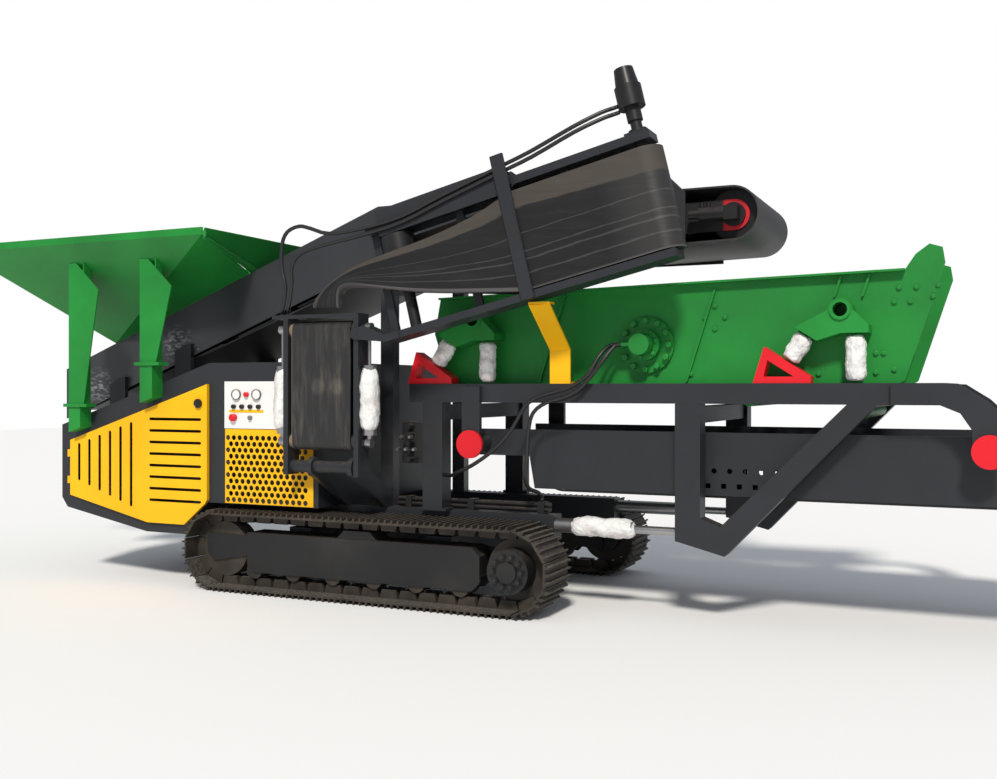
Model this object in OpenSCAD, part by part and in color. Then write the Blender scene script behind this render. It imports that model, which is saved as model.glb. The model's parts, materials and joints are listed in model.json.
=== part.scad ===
// Tracked mobile screening plant in its transport position.
// X runs along the machine from the feed hopper to the tail conveyor, Y across it, Z up from the ground.

/* [Crawlers] */
// Length of a crawler over its shoes
track_l = 3060; // [2900:10:3200]
// Height of a crawler over its shoes
track_h = 620; // [590:5:650]
// Width over both crawlers
track_span = 2300; // [2240:10:2400]
// Width of a shoe
shoe_w = 420; // [380:10:440]
// Number of shoes in a crawler
shoe_count = 42; // [38:1:44]
// Thickness of a shoe plate
shoe_t = 12; // [10:1:16]
// Height of a grouser bar
grouser_h = 26; // [18:1:34]
// Height of a chain link under its shoe
link_h = 62; // [54:1:70]

/* [Chassis] */
// Distance between the outer faces of the chassis rails
rail_span = 1440; // [1400:10:1440]
// Width of a chassis rail
rail_w = 140; // [100:10:160]
// Height of a chassis rail
rail_h = 180; // [140:10:200]
// Height of the rail tops above the ground
rail_top = 660; // [650:5:700]

/* [Engine housing] */
// Width of the housing
housing_w = 2060; // [1980:10:2090]
// Length of the housing
housing_l = 2560; // [2500:10:2580]
// Height of the level roof above the ground
housing_roof = 1745; // [1700:5:1760]
// Depth of the engine bay behind the door
bay_depth = 420; // [300:10:500]
// Depth of the door's folded pan
door_d = 30; // [24:1:40]
// Thickness of the door's sheet
door_t = 6; // [4:1:8]
// Diameter of a hole in the cooler grille
grille_hole_d = 40; // [30:1:44]
// Pitch of the holes in the cooler grille
grille_pitch = 55; // [50:1:64]

/* [Hopper] */
// Length of the hopper rim
hopper_l = 2610; // [2500:10:2700]
// Width of the hopper rim
hopper_w = 2540; // [2530:10:2600]
// Height of the rim above the ground
hopper_rim = 2765; // [2720:5:2830]
// Height of the upright lip on the rim
lip_h = 55; // [40:1:70]
// Vertical thickness of the hopper sheet
hopper_t = 16; // [10:1:20]

/* [Feed conveyor] */
// Distance between the outer faces of the feed conveyor walls
feed_w = 1130; // [1100:10:1160]
// Rise angle of the lower stretch
feed_rise = 20.8; // [20:0.1:21.4]
// Depth of the side walls, measured upright
feed_d = 440; // [400:5:470]
// Radius of the head drum
feed_drum_r = 173; // [150:1:180]

/* [Screen] */
// Width of the screen box over its side plates
screen_w = 1220; // [1180:10:1240]
// Thickness of the side plates
screen_t = 12; // [8:1:16]
// Height of the screen box rim above the ground, mid length
screen_top = 2250; // [2220:5:2280]
// Distance between the spring stations
station_pitch = 2520; // [2480:10:2560]
// Radius of a wrapped spring
spring_r = 72; // [60:1:78]

/* [Subframe] */
// Clearance between the tail conveyor and the beams beside it
tail_clear = 40; // [25:5:60]
// Width of a top beam
beam_w = 140; // [120:5:150]
// Depth of a top beam
beam_h = 133; // [120:1:140]
// Height of the top beams above the ground
beam_top = 1580; // [1570:1:1590]

/* [Tail conveyor] */
// Width over the tail conveyor walls
tail_w = 1240; // [1200:10:1260]
// Height of the tail conveyor walls
tail_h = 420; // [380:5:440]
// Radius of the tail conveyor drums
tail_drum_r = 160; // [130:5:170]
// Reach of the tail conveyor past the subframe
tail_reach = 1310; // [1200:10:1500]

/* [Side conveyor] */
// Width over the tower rails
tower_w = 640; // [620:10:660]
// Height of the tower above its pivot
tower_h = 1100; // [1090:5:1110]
// Depth of the tower rails
tower_d = 140; // [130:2:146]
// Length of the head section from its hinge to its drum
head_l = 2265; // [2200:5:2300]
// Width of the head section's belt
head_belt_w = 665; // [640:5:680]
// Radius of the head section's drum
head_drum_r = 120; // [100:5:124]
// Angle of the head section when it is folded along the machine
fold_angle = 13.5; // [12:0.5:15]
// Thickness of all conveyor belts
belt_t = 12; // [8:1:14]

/* [Hidden] */
$fn = 48;

// Colours
slate = "#3e4044";
green = "#2f9140";
yellow = "#f7bd17";
red = "#e02425";
belt_black = "#2b2b2d";
steel = "#6e6a64";
black = "#1f1f20";
white = "#f2f2f0";

// Clearance between pieces that seat on each other
seat = 0.3;
// Overlap that joins two solids of one piece
weld = 2;

// Profiles drawn as X and Z, swept along Y from y0
module prism_y(y0, w) translate([0, y0 + w, 0]) rotate([90, 0, 0]) linear_extrude(w) children();
// Profiles drawn as Y and Z, swept along X from x0
module prism_x(x0, l) translate([x0, 0, 0]) rotate([90, 0, 90]) linear_extrude(l) children();
module rod_y(x, z, r, y0, l) translate([x, y0, z]) rotate([-90, 0, 0]) cylinder(r = r, h = l);
module rod_x(y, z, r, x0, l) translate([x0, y, z]) rotate([0, 90, 0]) cylinder(r = r, h = l);
module both_sides() {
  children();
  mirror([0, 1, 0]) children();
}
// A flat sheet given by its lower corners, counter-clockwise from above, with an upright thickness
module sheet(corners, t) {
  n = len(corners);
  upper = [for (p = corners) p + [0, 0, t]];
  sides = [for (i = [0:n - 1]) [i, i + n, (i + 1) % n + n, (i + 1) % n]];
  floor_face = [[for (i = [0:n - 1]) i]];
  roof_face = [[for (i = [0:n - 1]) 2 * n - 1 - i]];
  polyhedron(points = concat(corners, upper), faces = concat(floor_face, roof_face, sides));
}
// A straight band between two points of a plane
module band(p, q, t) {
  run = q - p;
  translate(p) rotate(atan2(run[1], run[0])) translate([0, -t / 2]) square([norm(run), t]);
}
// A closed loop of belt round two equal drums, along the first axis of a plane
module belt_loop(l, r, t) {
  difference() {
    union() {
      translate([0, -r - t]) square([l, 2 * (r + t)]);
      circle(r + t);
      translate([l, 0]) circle(r + t);
    }
    translate([0, -r]) square([l, 2 * r]);
    circle(r);
    translate([l, 0]) circle(r);
  }
}
// Points of a smooth curve through a route, with some steps between each two of its points
function between(p, i, t) = let (
  last = len(p) - 1, a = p[max(i - 1, 0)], b = p[i], c = p[i + 1], d = p[min(i + 2, last)]
) (2 * b + (c - a) * t + (2 * a - 5 * b + 4 * c - d) * t ^ 2 + (3 * b - a - 3 * c + d) * t ^ 3) / 2;
function smooth(p, steps) = concat(
  [for (i = [0:len(p) - 2]) for (k = [0:steps - 1]) between(p, i, k / steps)], [p[len(p) - 1]]
);
// A hose leaves its fitting square and straight, then bends
hose_lead = 35;
function led(p) = let (n = len(p)) concat(
  [p[0]], smooth([for (i = [1:n - 2]) p[i]], hose_steps), [p[n - 1]]
);
// A round tube along a route that never runs straight along Y
tube_sides = 10;
function unit(v) = v / norm(v);
module tube(route, r) {
  last = len(route) - 1;
  rings = [for (i = [0:last])
    let (
      run = unit(route[min(i + 1, last)] - route[max(i - 1, 0)]),
      out = unit(cross([0, 1, 0], run)),
      up = cross(run, out)
    ) for (k = [0:tube_sides - 1]) let (a = k * 360 / tube_sides) route[i] + r * (cos(a) * out + sin(a)
      * up)];
  function at(i, k) = i * tube_sides + k % tube_sides;
  walls = [for (i = [0:last - 1]) for (k = [0:tube_sides - 1]) for (half = [0, 1])
    half == 0 ? [at(i, k), at(i + 1, k), at(i + 1, k + 1)] : [at(i, k), at(i + 1, k + 1), at(i, k + 1)]];
  start_face = [for (k = [0:tube_sides - 1]) k];
  end_face = [for (k = [0:tube_sides - 1]) at(last, tube_sides - 1 - k)];
  polyhedron(points = rings, faces = concat([start_face], walls, [end_face]));
}
hose_r = 14;
hose_steps = 3;
module slot_2d(l, w) {
  translate([0, -w / 2]) square([l, w]);
  circle(w / 2);
  translate([l, 0]) circle(w / 2);
}

// Frame of the whole machine: the crawlers' middle is at x = 0 before this shift
hopper_x0 = -3830;
beam_span = tail_w + 2 * (tail_clear + beam_w);
beam_x1 = 3754;
tail_head_x = beam_x1 + tail_reach;
x_mid = (hopper_x0 + tail_head_x + tail_drum_r + belt_t) / 2;
module placed() translate([-x_mid, 0, 0]) children();

// Crawlers
track_y = track_span / 2 - shoe_w / 2;
sole_r = track_h / 2;
plate_r = sole_r - grouser_h - shoe_t;
link_r = plate_r - link_h;
half_run = track_l / 2 - sole_r;
arc_run = PI * plate_r;
loop_run = 4 * half_run + 2 * arc_run;
shoe_pitch = loop_run / shoe_count;
shoe_gap = 0.6;
shoe_half = shoe_pitch / 2 - shoe_gap / 2;
grouser_pitch = shoe_half * 2 / 3;
grouser_base = 9;
grouser_tip = 5;
link_w = 45;
link_spread = 90;
link_top_half = shoe_half - 4;
link_foot_half = link_r * tan(90 * shoe_pitch / arc_run) - 4;
function deg_of(run) = run / arc_run * 180;
function shoe_place(s) =
  s < half_run ? [s, -plate_r, 0]
  : s < half_run + arc_run ? let (a = deg_of(s - half_run))
      [half_run + plate_r * sin(a), -plate_r * cos(a), a]
  : s < 3 * half_run + arc_run ? [2 * half_run + arc_run - s, plate_r, 180]
  : s < 3 * half_run + 2 * arc_run ? let (a = deg_of(s - 3 * half_run - arc_run))
      [-half_run - plate_r * sin(a), plate_r * cos(a), 180 + a]
  : [s - loop_run, -plate_r, 360];
grouser_tooth = [
  [-grouser_base, -shoe_t], [-grouser_tip, -shoe_t - grouser_h],
  [grouser_tip, -shoe_t - grouser_h], [grouser_base, -shoe_t]
];
shoe_outline = concat(
  [[shoe_half, 0], [-shoe_half, 0], [-shoe_half, -shoe_t]],
  [for (i = [-1:1]) for (p = grouser_tooth) [i * grouser_pitch + p[0], p[1]]],
  [[shoe_half, -shoe_t]]
);
link_outline = [
  [-link_top_half, 0], [link_top_half, 0], [link_foot_half, link_h], [-link_foot_half, link_h]
];
module round_the_track() {
  for (i = [0:shoe_count - 1]) {
    p = shoe_place((i + 0.5) * shoe_pitch);
    translate([p[0], sole_r + p[1]]) rotate(p[2]) children();
  }
}
module track_shoes(y) {
  color(steel) {
    prism_y(y - shoe_w / 2, shoe_w) round_the_track() polygon(shoe_outline);
    for (side = [-1, 1])
      prism_y(y + side * link_spread / 2 - link_w / 2, link_w) round_the_track() polygon(link_outline);
  }
}
module near_track_shoes() placed() track_shoes(-track_y);
module far_track_shoes() placed() track_shoes(track_y);

// Track frame: a box beam over the rollers with skirts, an idler yoke and a drive bracket
frame_w = 220;
frame_skirt = 20;
frame_bottom = 250;
frame_top = 450;
skirt_bottom = 150;
frame_x0 = -985;
frame_x1 = 980;
frame_bevel = 60;
yoke_reach = 390;
yoke_top = 420;
yoke_bottom = 215;
yoke_t = 20;
bracket_t = 30;
bracket_reach = 280;
guard_x = -190;
guard_l = 340;
guard_h = 60;
module track_frame() {
  y0 = -track_y - frame_w / 2;
  prism_y(y0, frame_w)
    polygon([
      [frame_x0, frame_bottom], [frame_x1, frame_bottom], [frame_x1, frame_top - frame_bevel],
      [frame_x1 - frame_bevel, frame_top], [frame_x0, frame_top]
    ]);
  for (y = [y0, y0 + frame_w - frame_skirt])
    prism_y(y, frame_skirt)
      polygon([
        [frame_x0, frame_bottom + weld], [frame_x0, skirt_bottom + frame_bevel],
        [frame_x0 + frame_bevel, skirt_bottom], [frame_x1 - frame_bevel, skirt_bottom],
        [frame_x1, skirt_bottom + frame_bevel], [frame_x1, frame_bottom + weld]
      ]);
  for (y = [y0 + frame_skirt, y0 + frame_w - frame_skirt - yoke_t])
    prism_y(y, yoke_t)
      polygon([
        [frame_x0 - yoke_reach, yoke_bottom + frame_bevel], [frame_x0 - yoke_reach + frame_bevel,
          yoke_bottom],
        [frame_x0 + weld, yoke_bottom + frame_bevel], [frame_x0 + weld, yoke_top],
        [frame_x0 - yoke_reach, yoke_top]
      ]);
  prism_y(y0 + frame_w, bracket_t)
    polygon([
      [frame_x1 - bracket_reach, frame_bottom], [half_run, sole_r - link_r / 2], [half_run, sole_r +
        link_r / 2],
      [frame_x1 - bracket_reach, frame_top]
    ]);
  prism_y(y0 + frame_skirt, frame_w - 2 * frame_skirt)
    polygon([
      [guard_x, frame_top - weld], [guard_x + guard_l, frame_top - weld],
      [guard_x + guard_l - guard_h, frame_top + guard_h - weld], [guard_x + guard_h, frame_top +
        guard_h - weld]
    ]);
}
module track_frames() placed() color(black) both_sides() track_frame();

roller_r = 70;
roller_w = frame_w - 2 * frame_skirt - 2 * seat;
roller_count = 6;
roller_x0 = -930;
roller_step = 350;
roller_z = sole_r - link_r + roller_r + seat;
idler_w = frame_w - 2 * frame_skirt - 2 * yoke_t - 2 * seat;
wheel_r = link_r - seat;
sprocket_w = 60;
drive_r = 150;
drive_bore_r = drive_r - 20;
module track_wheels() {
  placed() color(steel) both_sides() {
    for (i = [0:roller_count - 1])
      rod_y(roller_x0 + i * roller_step, roller_z, roller_r, -track_y - roller_w / 2, roller_w);
    rod_y(-half_run, sole_r, wheel_r, -track_y - idler_w / 2, idler_w);
    translate([half_run, 0, sole_r]) prism_y(-track_y - sprocket_w / 2, sprocket_w) difference() {
      circle(wheel_r);
      circle(drive_bore_r + seat);
    }
  }
}
drive_face = 30;
cap_r = 70;
cap_t = 18;
module final_drives() {
  y_out = -track_span / 2 + drive_face;
  y_mid = -track_y - sprocket_w / 2 - seat;
  y_in = -track_y + frame_w / 2 - seat;
  placed() color(black) both_sides() {
    rod_y(half_run, sole_r, drive_r, y_out, y_mid - y_out);
    rod_y(half_run, sole_r, drive_bore_r, y_mid - weld, y_in - y_mid + weld);
    rod_y(half_run, sole_r, cap_r, y_out - cap_t, cap_t + weld);
  }
}

// Chassis
rail_y0 = -rail_span / 2;
rail_x0 = -1390;
rail_x1 = 1400;
module chassis_rails() {
  placed() color(slate) both_sides()
    translate([rail_x0, rail_y0, rail_top - rail_h]) cube([rail_x1 - rail_x0, rail_w, rail_h]);
}
cross_x = [-650, 550];
cross_w = 200;
cross_bottom = 300;
cross_y = track_y - frame_w / 2;
module chassis_cross_beams() {
  h = rail_top - rail_h - cross_bottom;
  placed() color(slate) for (x = cross_x)
    translate([x - cross_w / 2, -cross_y, cross_bottom]) cube([cross_w, 2 * cross_y, h]);
}

// Engine housing with an open bay behind the near door
housing_x1 = -350;
housing_x0 = housing_x1 - housing_l;
housing_y = housing_w / 2;
roof_kink_x = -1363;
roof_fall = 0.323;
housing_foot = 400;
track_relief_x = -1600;
function roof_at(x) = x < roof_kink_x ? housing_roof - (roof_kink_x - x) * roof_fall : housing_roof;
housing_outline = [
  [housing_x0, 640], [housing_x0 + 60, 560], [-1990, housing_foot], [track_relief_x, housing_foot],
  [-1400, rail_top], [housing_x1, rail_top], [housing_x1, housing_roof], [roof_kink_x, housing_roof],
  [housing_x0, roof_at(housing_x0)]
];
// Door: its top edge follows the roof
door_inset = 120;
door_x0 = housing_x0 + door_inset;
door_x1 = -1363;
door_drop = 165;
door_outline = [
  [door_x0, 665], [-1960, 478], [track_relief_x + 10, 478], [door_x1 - 20, rail_top - 10],
  [door_x1, rail_top + 20], [door_x1, roof_at(door_x1) - door_drop], [door_x0, roof_at(door_x0) - door_drop]
];
bay_x0 = door_x0 + 60;
bay_x1 = door_x1 - 50;
bay_outline = [
  [bay_x0, 720], [-1960, 560], [-1660, 560], [bay_x1, rail_top + 70],
  [bay_x1, roof_at(bay_x1) - door_drop - 60], [bay_x0, roof_at(bay_x0) - door_drop - 60]
];
grille_x0 = -1204;
grille_x1 = -392;
grille_z0 = rail_top + 5;
grille_z1 = 1236;
grille_t = 6;
core_pocket = 70;
core_margin = 40;
hinge_r = 15;
hinge_pin_r = 7;
hinge_l = 60;
hinge_z = [760, 980];
hinge_y = housing_y + hinge_r + 2;
hinge_gap = 6;
hinge_x = door_x0 - hinge_r - hinge_gap;
pin_play = 0.08;
hinge_leaf = 8;
module engine_housing() {
  placed() {
    color(slate) difference() {
      prism_y(-housing_y, housing_w) polygon(housing_outline);
      prism_y(-housing_y - weld, bay_depth + weld) polygon(bay_outline);
      both_sides()
        translate([grille_x0 + core_margin, -housing_y - weld, grille_z0 + core_margin])
        cube([grille_x1 - grille_x0 - 2 * core_margin, core_pocket + weld,
          grille_z1 - grille_z0 - 2 * core_margin]);
    }
    color(slate) for (z = hinge_z) {
      translate([hinge_x, -hinge_y, z - hinge_l]) cylinder(r = hinge_r, h = hinge_l);
      translate([hinge_x, -hinge_y, z - hinge_l]) cylinder(r = hinge_pin_r, h = 2 * hinge_l);
      translate([hinge_x - hinge_leaf / 2, -hinge_y, z - hinge_l]) cube([hinge_leaf, hinge_y - housing_y +
        weld, hinge_l]);
    }
  }
}

// Slots and louvres of a door
slot_count = 6;
slot_inset = 100;
slot_x0 = door_x0 + slot_inset;
slot_margin = 200;
slot_w = 28;
slot_top_drop = 235;
slot_foot_z = 800;
slot_foot_step = -38;
louvre_count = 8;
louvre_x0 = -1930;
louvre_l = 500;
louvre_z0 = 660;
louvre_step = 92;
louvre_w = 22;
slot_step = (louvre_x0 - slot_x0 - slot_margin) / (slot_count - 1);
latch_x = -1440;
latch_z = 1430;
latch_r = 34;
latch_t = 10;
module door_slots() {
  for (i = [0:slot_count - 1]) {
    x = slot_x0 + i * slot_step;
    top = roof_at(x) - slot_top_drop;
    foot = slot_foot_z + i * slot_foot_step;
    translate([x, foot]) rotate(90) slot_2d(top - foot, slot_w);
  }
  for (i = [0:louvre_count - 1])
    translate([louvre_x0, louvre_z0 + i * louvre_step]) slot_2d(louvre_l, louvre_w);
}
module door_pan() {
  difference() {
    prism_y(-housing_y - door_d, door_d - seat) polygon(door_outline);
    prism_y(-housing_y - door_d + door_t, door_d) offset_in_door();
    prism_y(-housing_y - door_d - weld, door_d + 2 * weld) door_slots();
  }
  rod_y(latch_x, latch_z, latch_r, -housing_y - door_d - latch_t, latch_t + weld);
}
// The door's outline less its folded edge
module offset_in_door() {
  edge = 4 * door_t;
  polygon([
    [door_x0 + edge, 665 + edge], [-1960 + edge, 478 + edge], [track_relief_x, 478 + edge],
    [door_x1 - edge, rail_top + 20 + edge], [door_x1 - edge, roof_at(door_x1) - door_drop - edge - 6],
    [door_x0 + edge, roof_at(door_x0) - door_drop - edge]
  ]);
}
module engine_door() {
  placed() color(yellow) {
    door_pan();
    difference() {
      for (z = hinge_z) {
        translate([hinge_x, -hinge_y, z + seat]) cylinder(r = hinge_r, h = hinge_l - 2 * seat);
        translate([hinge_x, -hinge_y - hinge_leaf / 2, z + seat])
          cube([door_x0 - hinge_x + weld, hinge_leaf, hinge_l - 2 * seat]);
      }
      for (z = hinge_z)
        translate([hinge_x, -hinge_y, z - weld]) cylinder(r = hinge_pin_r + pin_play, h = hinge_l +
          2 * weld);
    }
  }
}
module far_side_door() placed() color(yellow) mirror([0, 1, 0]) door_pan();

module grille_holes() {
  columns = floor((grille_x1 - grille_x0 - grille_pitch) / grille_pitch);
  row_step = grille_pitch * sin(60);
  rows = floor((grille_z1 - grille_z0 - grille_pitch) / row_step);
  for (r = [0:rows]) for (c = [0:columns - (r % 2)])
    translate([
      grille_x0 + grille_pitch / 2 + (c + (r % 2) / 2) * grille_pitch,
      grille_z0 + grille_pitch / 2 + r * row_step
    ]) circle(d = grille_hole_d, $fn = 24);
}
module cooler_grilles() {
  placed() color(yellow) both_sides() prism_y(-housing_y - grille_t - seat, grille_t) difference() {
    translate([grille_x0, grille_z0]) square([grille_x1 - grille_x0, grille_z1 - grille_z0]);
    grille_holes();
  }
}
core_t = 40;
module cooler_core() {
  placed() color(black) both_sides()
    translate([grille_x0 + core_margin + seat, -housing_y + core_pocket - core_t - seat, grille_z0 +
      core_margin + seat])
    cube([
      grille_x1 - grille_x0 - 2 * core_margin - 2 * seat, core_t,
      grille_z1 - grille_z0 - 2 * core_margin - 2 * seat
    ]);
}
panel_x0 = grille_x0;
panel_x1 = -640;
panel_z0 = grille_z1 + 4;
panel_z1 = 1600;
panel_t = 14;
gauge_x = [-1085, -895];
gauge_z = 1500;
gauge_r = 32;
gauge_t = 12;
lamp_x = -990;
lamp_r = 14;
switch_count = 4;
switch_x0 = -1110;
switch_step = 78;
switch_z = 1408;
switch_r = 12;
stop_x = -1110;
stop_z = 1324;
stop_r = 23;
key_x = -955;
module control_panel() {
  y_face = -housing_y - panel_t;
  placed() color(white) {
    translate([panel_x0, y_face, panel_z0]) cube([panel_x1 - panel_x0, panel_t - seat, panel_z1 - panel_z0]);
    for (x = gauge_x) rod_y(x, gauge_z, gauge_r, y_face - gauge_t, gauge_t + weld);
    rod_y(lamp_x, gauge_z, lamp_r, y_face - gauge_t, gauge_t + weld);
    for (i = [0:switch_count - 1])
      rod_y(switch_x0 + i * switch_step, switch_z, switch_r, y_face - gauge_t, gauge_t + weld);
    rod_y(stop_x, stop_z, stop_r, y_face - 2 * gauge_t, 2 * gauge_t + weld);
    rod_y(key_x, stop_z, switch_r, y_face - gauge_t, gauge_t + weld);
  }
}

// Feed conveyor: an inclined stretch under the hopper, then a level stretch over the screen
feed_y = feed_w / 2;
feed_wall_t = 15;
feed_slope = tan(feed_rise);
feed_kink_x = -120;
feed_top = 2945;
feed_tail_x = -3350;
feed_head_x = 2595;
feed_head_z = 2720;
feed_nose = 90;
feed_level_x1 = 2150;
feed_peak = 70;
feed_nose_x = 2290;
function feed_top_at(x) = x < feed_kink_x ? feed_top - (feed_kink_x - x) * feed_slope : feed_top;
feed_wall_outline = [
  [feed_tail_x, feed_top_at(feed_tail_x) - feed_d], [feed_kink_x, feed_top - feed_d],
  [feed_nose_x, feed_top - feed_d], [feed_nose_x, feed_top - feed_peak], [feed_level_x1, feed_top +
    feed_peak],
  [feed_level_x1 - 2 * feed_peak, feed_top], [feed_kink_x, feed_top], [feed_tail_x, feed_top_at(feed_tail_x)]
];
shaft_r = 40;
feed_drum_w = feed_w - 2 * feed_wall_t - 2 * 12;
tail_drum_x = feed_tail_x + 190;
tail_belt_r = 170;
belt_drop = 62;
feed_tail_z = feed_top_at(tail_drum_x) - (belt_drop + tail_belt_r + belt_t / 2) / cos(feed_rise);
module feed_walls() {
  placed() color(slate) both_sides() prism_y(-feed_y, feed_wall_t) difference() {
    polygon(feed_wall_outline);
    translate([tail_drum_x, feed_tail_z]) circle(shaft_r + pin_play);
  }
}
cross_tube_r = 38;
feed_cross_x = [-2700, -2050, -1400, -750, 200, 850, 1500, 2100];
feed_cross_drop = 235;
module feed_cross_members() {
  placed() color(slate) for (x = feed_cross_x)
    rod_y(x, feed_top_at(x) - feed_cross_drop, cross_tube_r, -feed_y + feed_wall_t + seat,
      feed_w - 2 * feed_wall_t - 2 * seat);
}
belt_w = feed_drum_w - 20;
return_fall = 68;
return_kink = [feed_kink_x + 60, feed_head_z - feed_drum_r - return_fall];
function arc(centre, r, from, to) = let (steps = 36) [
  for (i = [0:steps]) let (a = from + (to - from) * i / steps) centre + r * [cos(a), sin(a)]
];
// The belt's outline at a distance d outside the drums
function feed_loop(d) = let (
  tail = [tail_drum_x, feed_tail_z],
  tail_arc = arc(tail, tail_belt_r + d, 90 + feed_rise, 270 + feed_rise),
  head_arc = arc([feed_head_x, feed_head_z], feed_drum_r + d, -90, 90),
  level_z = feed_head_z + feed_drum_r + d,
  crest_x = tail_arc[0][0] + (level_z - tail_arc[0][1]) / feed_slope
) concat(tail_arc, [return_kink - [0, d]], head_arc, [[crest_x, level_z]]);
module feed_belt_2d() {
  difference() {
    polygon(feed_loop(belt_t));
    polygon(feed_loop(0));
  }
}
module feed_belt() placed() color(belt_black) prism_y(-belt_w / 2, belt_w) feed_belt_2d();
module drum(x, z, r, w, shaft_w) {
  rod_y(x, z, r, -w / 2, w);
  rod_y(x, z, shaft_r, -shaft_w / 2, shaft_w);
}
// Head frame inside the belt: two plates hung on the last cross tube carry the head drum
head_roll_w = 860;
head_plate_t = 14;
head_plate_r = 105;
head_plate_gap = 2;
head_plate_y = head_roll_w / 2 + head_plate_gap;
module feed_head_frame() {
  tube = [feed_cross_x[len(feed_cross_x) - 1], feed_top - feed_cross_drop];
  placed() color(red) both_sides() prism_y(-head_plate_y - head_plate_t, head_plate_t) difference() {
    union() {
      translate([feed_head_x, feed_head_z]) circle(head_plate_r);
      translate(tube) circle(head_plate_r);
      polygon([
        tube - [0, head_plate_r], [feed_head_x, feed_head_z - head_plate_r],
        [feed_head_x, feed_head_z + head_plate_r], tube + [0, head_plate_r]
      ]);
    }
    translate([feed_head_x, feed_head_z]) circle(shaft_r + pin_play);
    translate(tube) circle(cross_tube_r + pin_play);
  }
}
module feed_drums() {
  placed() color(steel) {
    drum(feed_head_x, feed_head_z, feed_drum_r - 2 * seat, head_roll_w, head_roll_w + 2 * head_plate_t);
    drum(tail_drum_x, feed_tail_z, tail_belt_r - 2 * seat, belt_w, feed_w);
  }
}
drive_flange_r = 80;
drive_flange_t = 30;
drive_body_r = 46;
drive_body_l = 170;
drive_neck_r = 30;
drive_neck_l = 75;
port_r = 15;
port_l = 60;
// Right-angle drive: a gearbox on the drum's shaft with its motor lying back along the belt
module feed_drive() {
  y0 = -head_plate_y - head_plate_t - seat;
  y_motor = y0 - drive_flange_t - drive_body_r;
  placed() color(black) {
    rod_y(feed_head_x, feed_head_z, drive_flange_r, y0 - drive_flange_t, drive_flange_t);
    translate([feed_head_x - drive_body_r, y_motor - drive_body_r, feed_head_z - drive_body_r])
      cube([2 * drive_body_r, 2 * drive_body_r + weld, 2 * drive_body_r]);
    rod_x(y_motor, feed_head_z, drive_body_r, feed_head_x - drive_body_r - drive_body_l, drive_body_l +
      weld);
    rod_x(y_motor, feed_head_z, drive_neck_r, feed_head_x - drive_body_r - drive_body_l - drive_neck_l,
      drive_neck_l + weld);
    for (i = [0, 1])
      translate([feed_head_x - drive_body_r - drive_body_l + port_r + i * 3 * port_r, y_motor, feed_head_z])
        cylinder(r = port_r, h = drive_body_r + port_l / 2);
  }
}
feed_post_x = -50;
feed_post_w = 110;
feed_post_d = 90;
module feed_posts() {
  placed() color(slate) both_sides()
    translate([feed_post_x, -feed_y + feed_wall_t - feed_post_d, rail_top])
    cube([feed_post_w, feed_post_d, feed_top - feed_d - rail_top - seat]);
}
lug_x = [housing_x0 + 110, housing_x0 + 830];
lug_w = 170;
lug_t = 40;
lug_rise = 95;
module feed_lugs() {
  placed() color(steel) both_sides() for (x = lug_x)
    prism_y(-feed_y - lug_t - seat, lug_t)
      polygon([
        [x, roof_at(x) + seat], [x + lug_w, roof_at(x + lug_w) + seat],
        [x + lug_w, feed_top_at(x + lug_w) - feed_d + lug_rise], [x + lug_w * 0.6, feed_top_at(x)
          - feed_d + 1.6 * lug_rise],
        [x, feed_top_at(x) - feed_d + lug_rise]
      ]);
}

// Hopper: flared sheets down to the feed conveyor's walls
hopper_x1 = hopper_x0 + hopper_l;
hopper_y = hopper_w / 2;
hopper_front_t = 14;
front_x = hopper_x1 - hopper_front_t;
throat_x = -2770;
mouth_lean = 113;
hopper_throat_gap = 0.5;
throat = [throat_x, -feed_y, feed_top_at(throat_x) + hopper_throat_gap];
mouth_x = front_x - mouth_lean;
mouth = [mouth_x, -feed_y, feed_top_at(mouth_x) + hopper_throat_gap];
rim_low = hopper_rim - lip_h;
rear_corner = [hopper_x0, -hopper_y, rim_low];
front_corner = [front_x, -hopper_y, rim_low];
flare = (rim_low - throat[2]) / (hopper_y - feed_y);
lip_t = 12;
// Run of the rear corner's seam across the machine for each unit along it
corner_run = (hopper_y - feed_y) / (throat_x - hopper_x0);
module hopper_side() {
  sheet([rear_corner, front_corner, throat], hopper_t);
  sheet([front_corner, mouth, throat], hopper_t);
  translate([0, 0, rim_low]) linear_extrude(lip_h) polygon([
    [hopper_x0, -hopper_y], [front_x, -hopper_y], [front_x, -hopper_y + lip_t],
    [hopper_x0 + lip_t / corner_run, -hopper_y + lip_t]
  ]);
}
module hopper_near_wall() placed() color(green) hopper_side();
module hopper_far_wall() placed() color(green) mirror([0, 1, 0]) hopper_side();
module hopper_rear_wall() {
  function across(p) = [p[0], -p[1], p[2]];
  placed() color(green) {
    sheet([rear_corner, throat, across(throat), across(rear_corner)], hopper_t);
    translate([0, 0, rim_low]) linear_extrude(lip_h) polygon([
      [hopper_x0, -hopper_y], [hopper_x0 + lip_t, -hopper_y + lip_t * corner_run],
      [hopper_x0 + lip_t, hopper_y - lip_t * corner_run], [hopper_x0, hopper_y]
    ]);
  }
}
gable_drop = 45;
front_foot_gap = 18;
gable_half = 440;
module hopper_front_plate() {
  lean = atan2(mouth_lean, rim_low - mouth[2]);
  foot = front_foot_gap;
  low = (rim_low - mouth[2]) / cos(lean);
  high = low + lip_h;
  placed() color(green) translate([mouth_x, 0, mouth[2]]) rotate([0, lean, 0]) prism_x(seat,
    hopper_front_t) polygon([
    [-hopper_y, high], [-hopper_y, low], [-feed_y, foot], [-gable_half, foot], [0, low - gable_drop],
    [gable_half, foot], [feed_y, foot], [hopper_y, low], [hopper_y, high]
  ]);
}
post_x = [-2712, -1955];
post_top_w = 320;
post_mid_w = 165;
stub_w = 125;
post_t = 10;
post_lift = 35;
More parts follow.
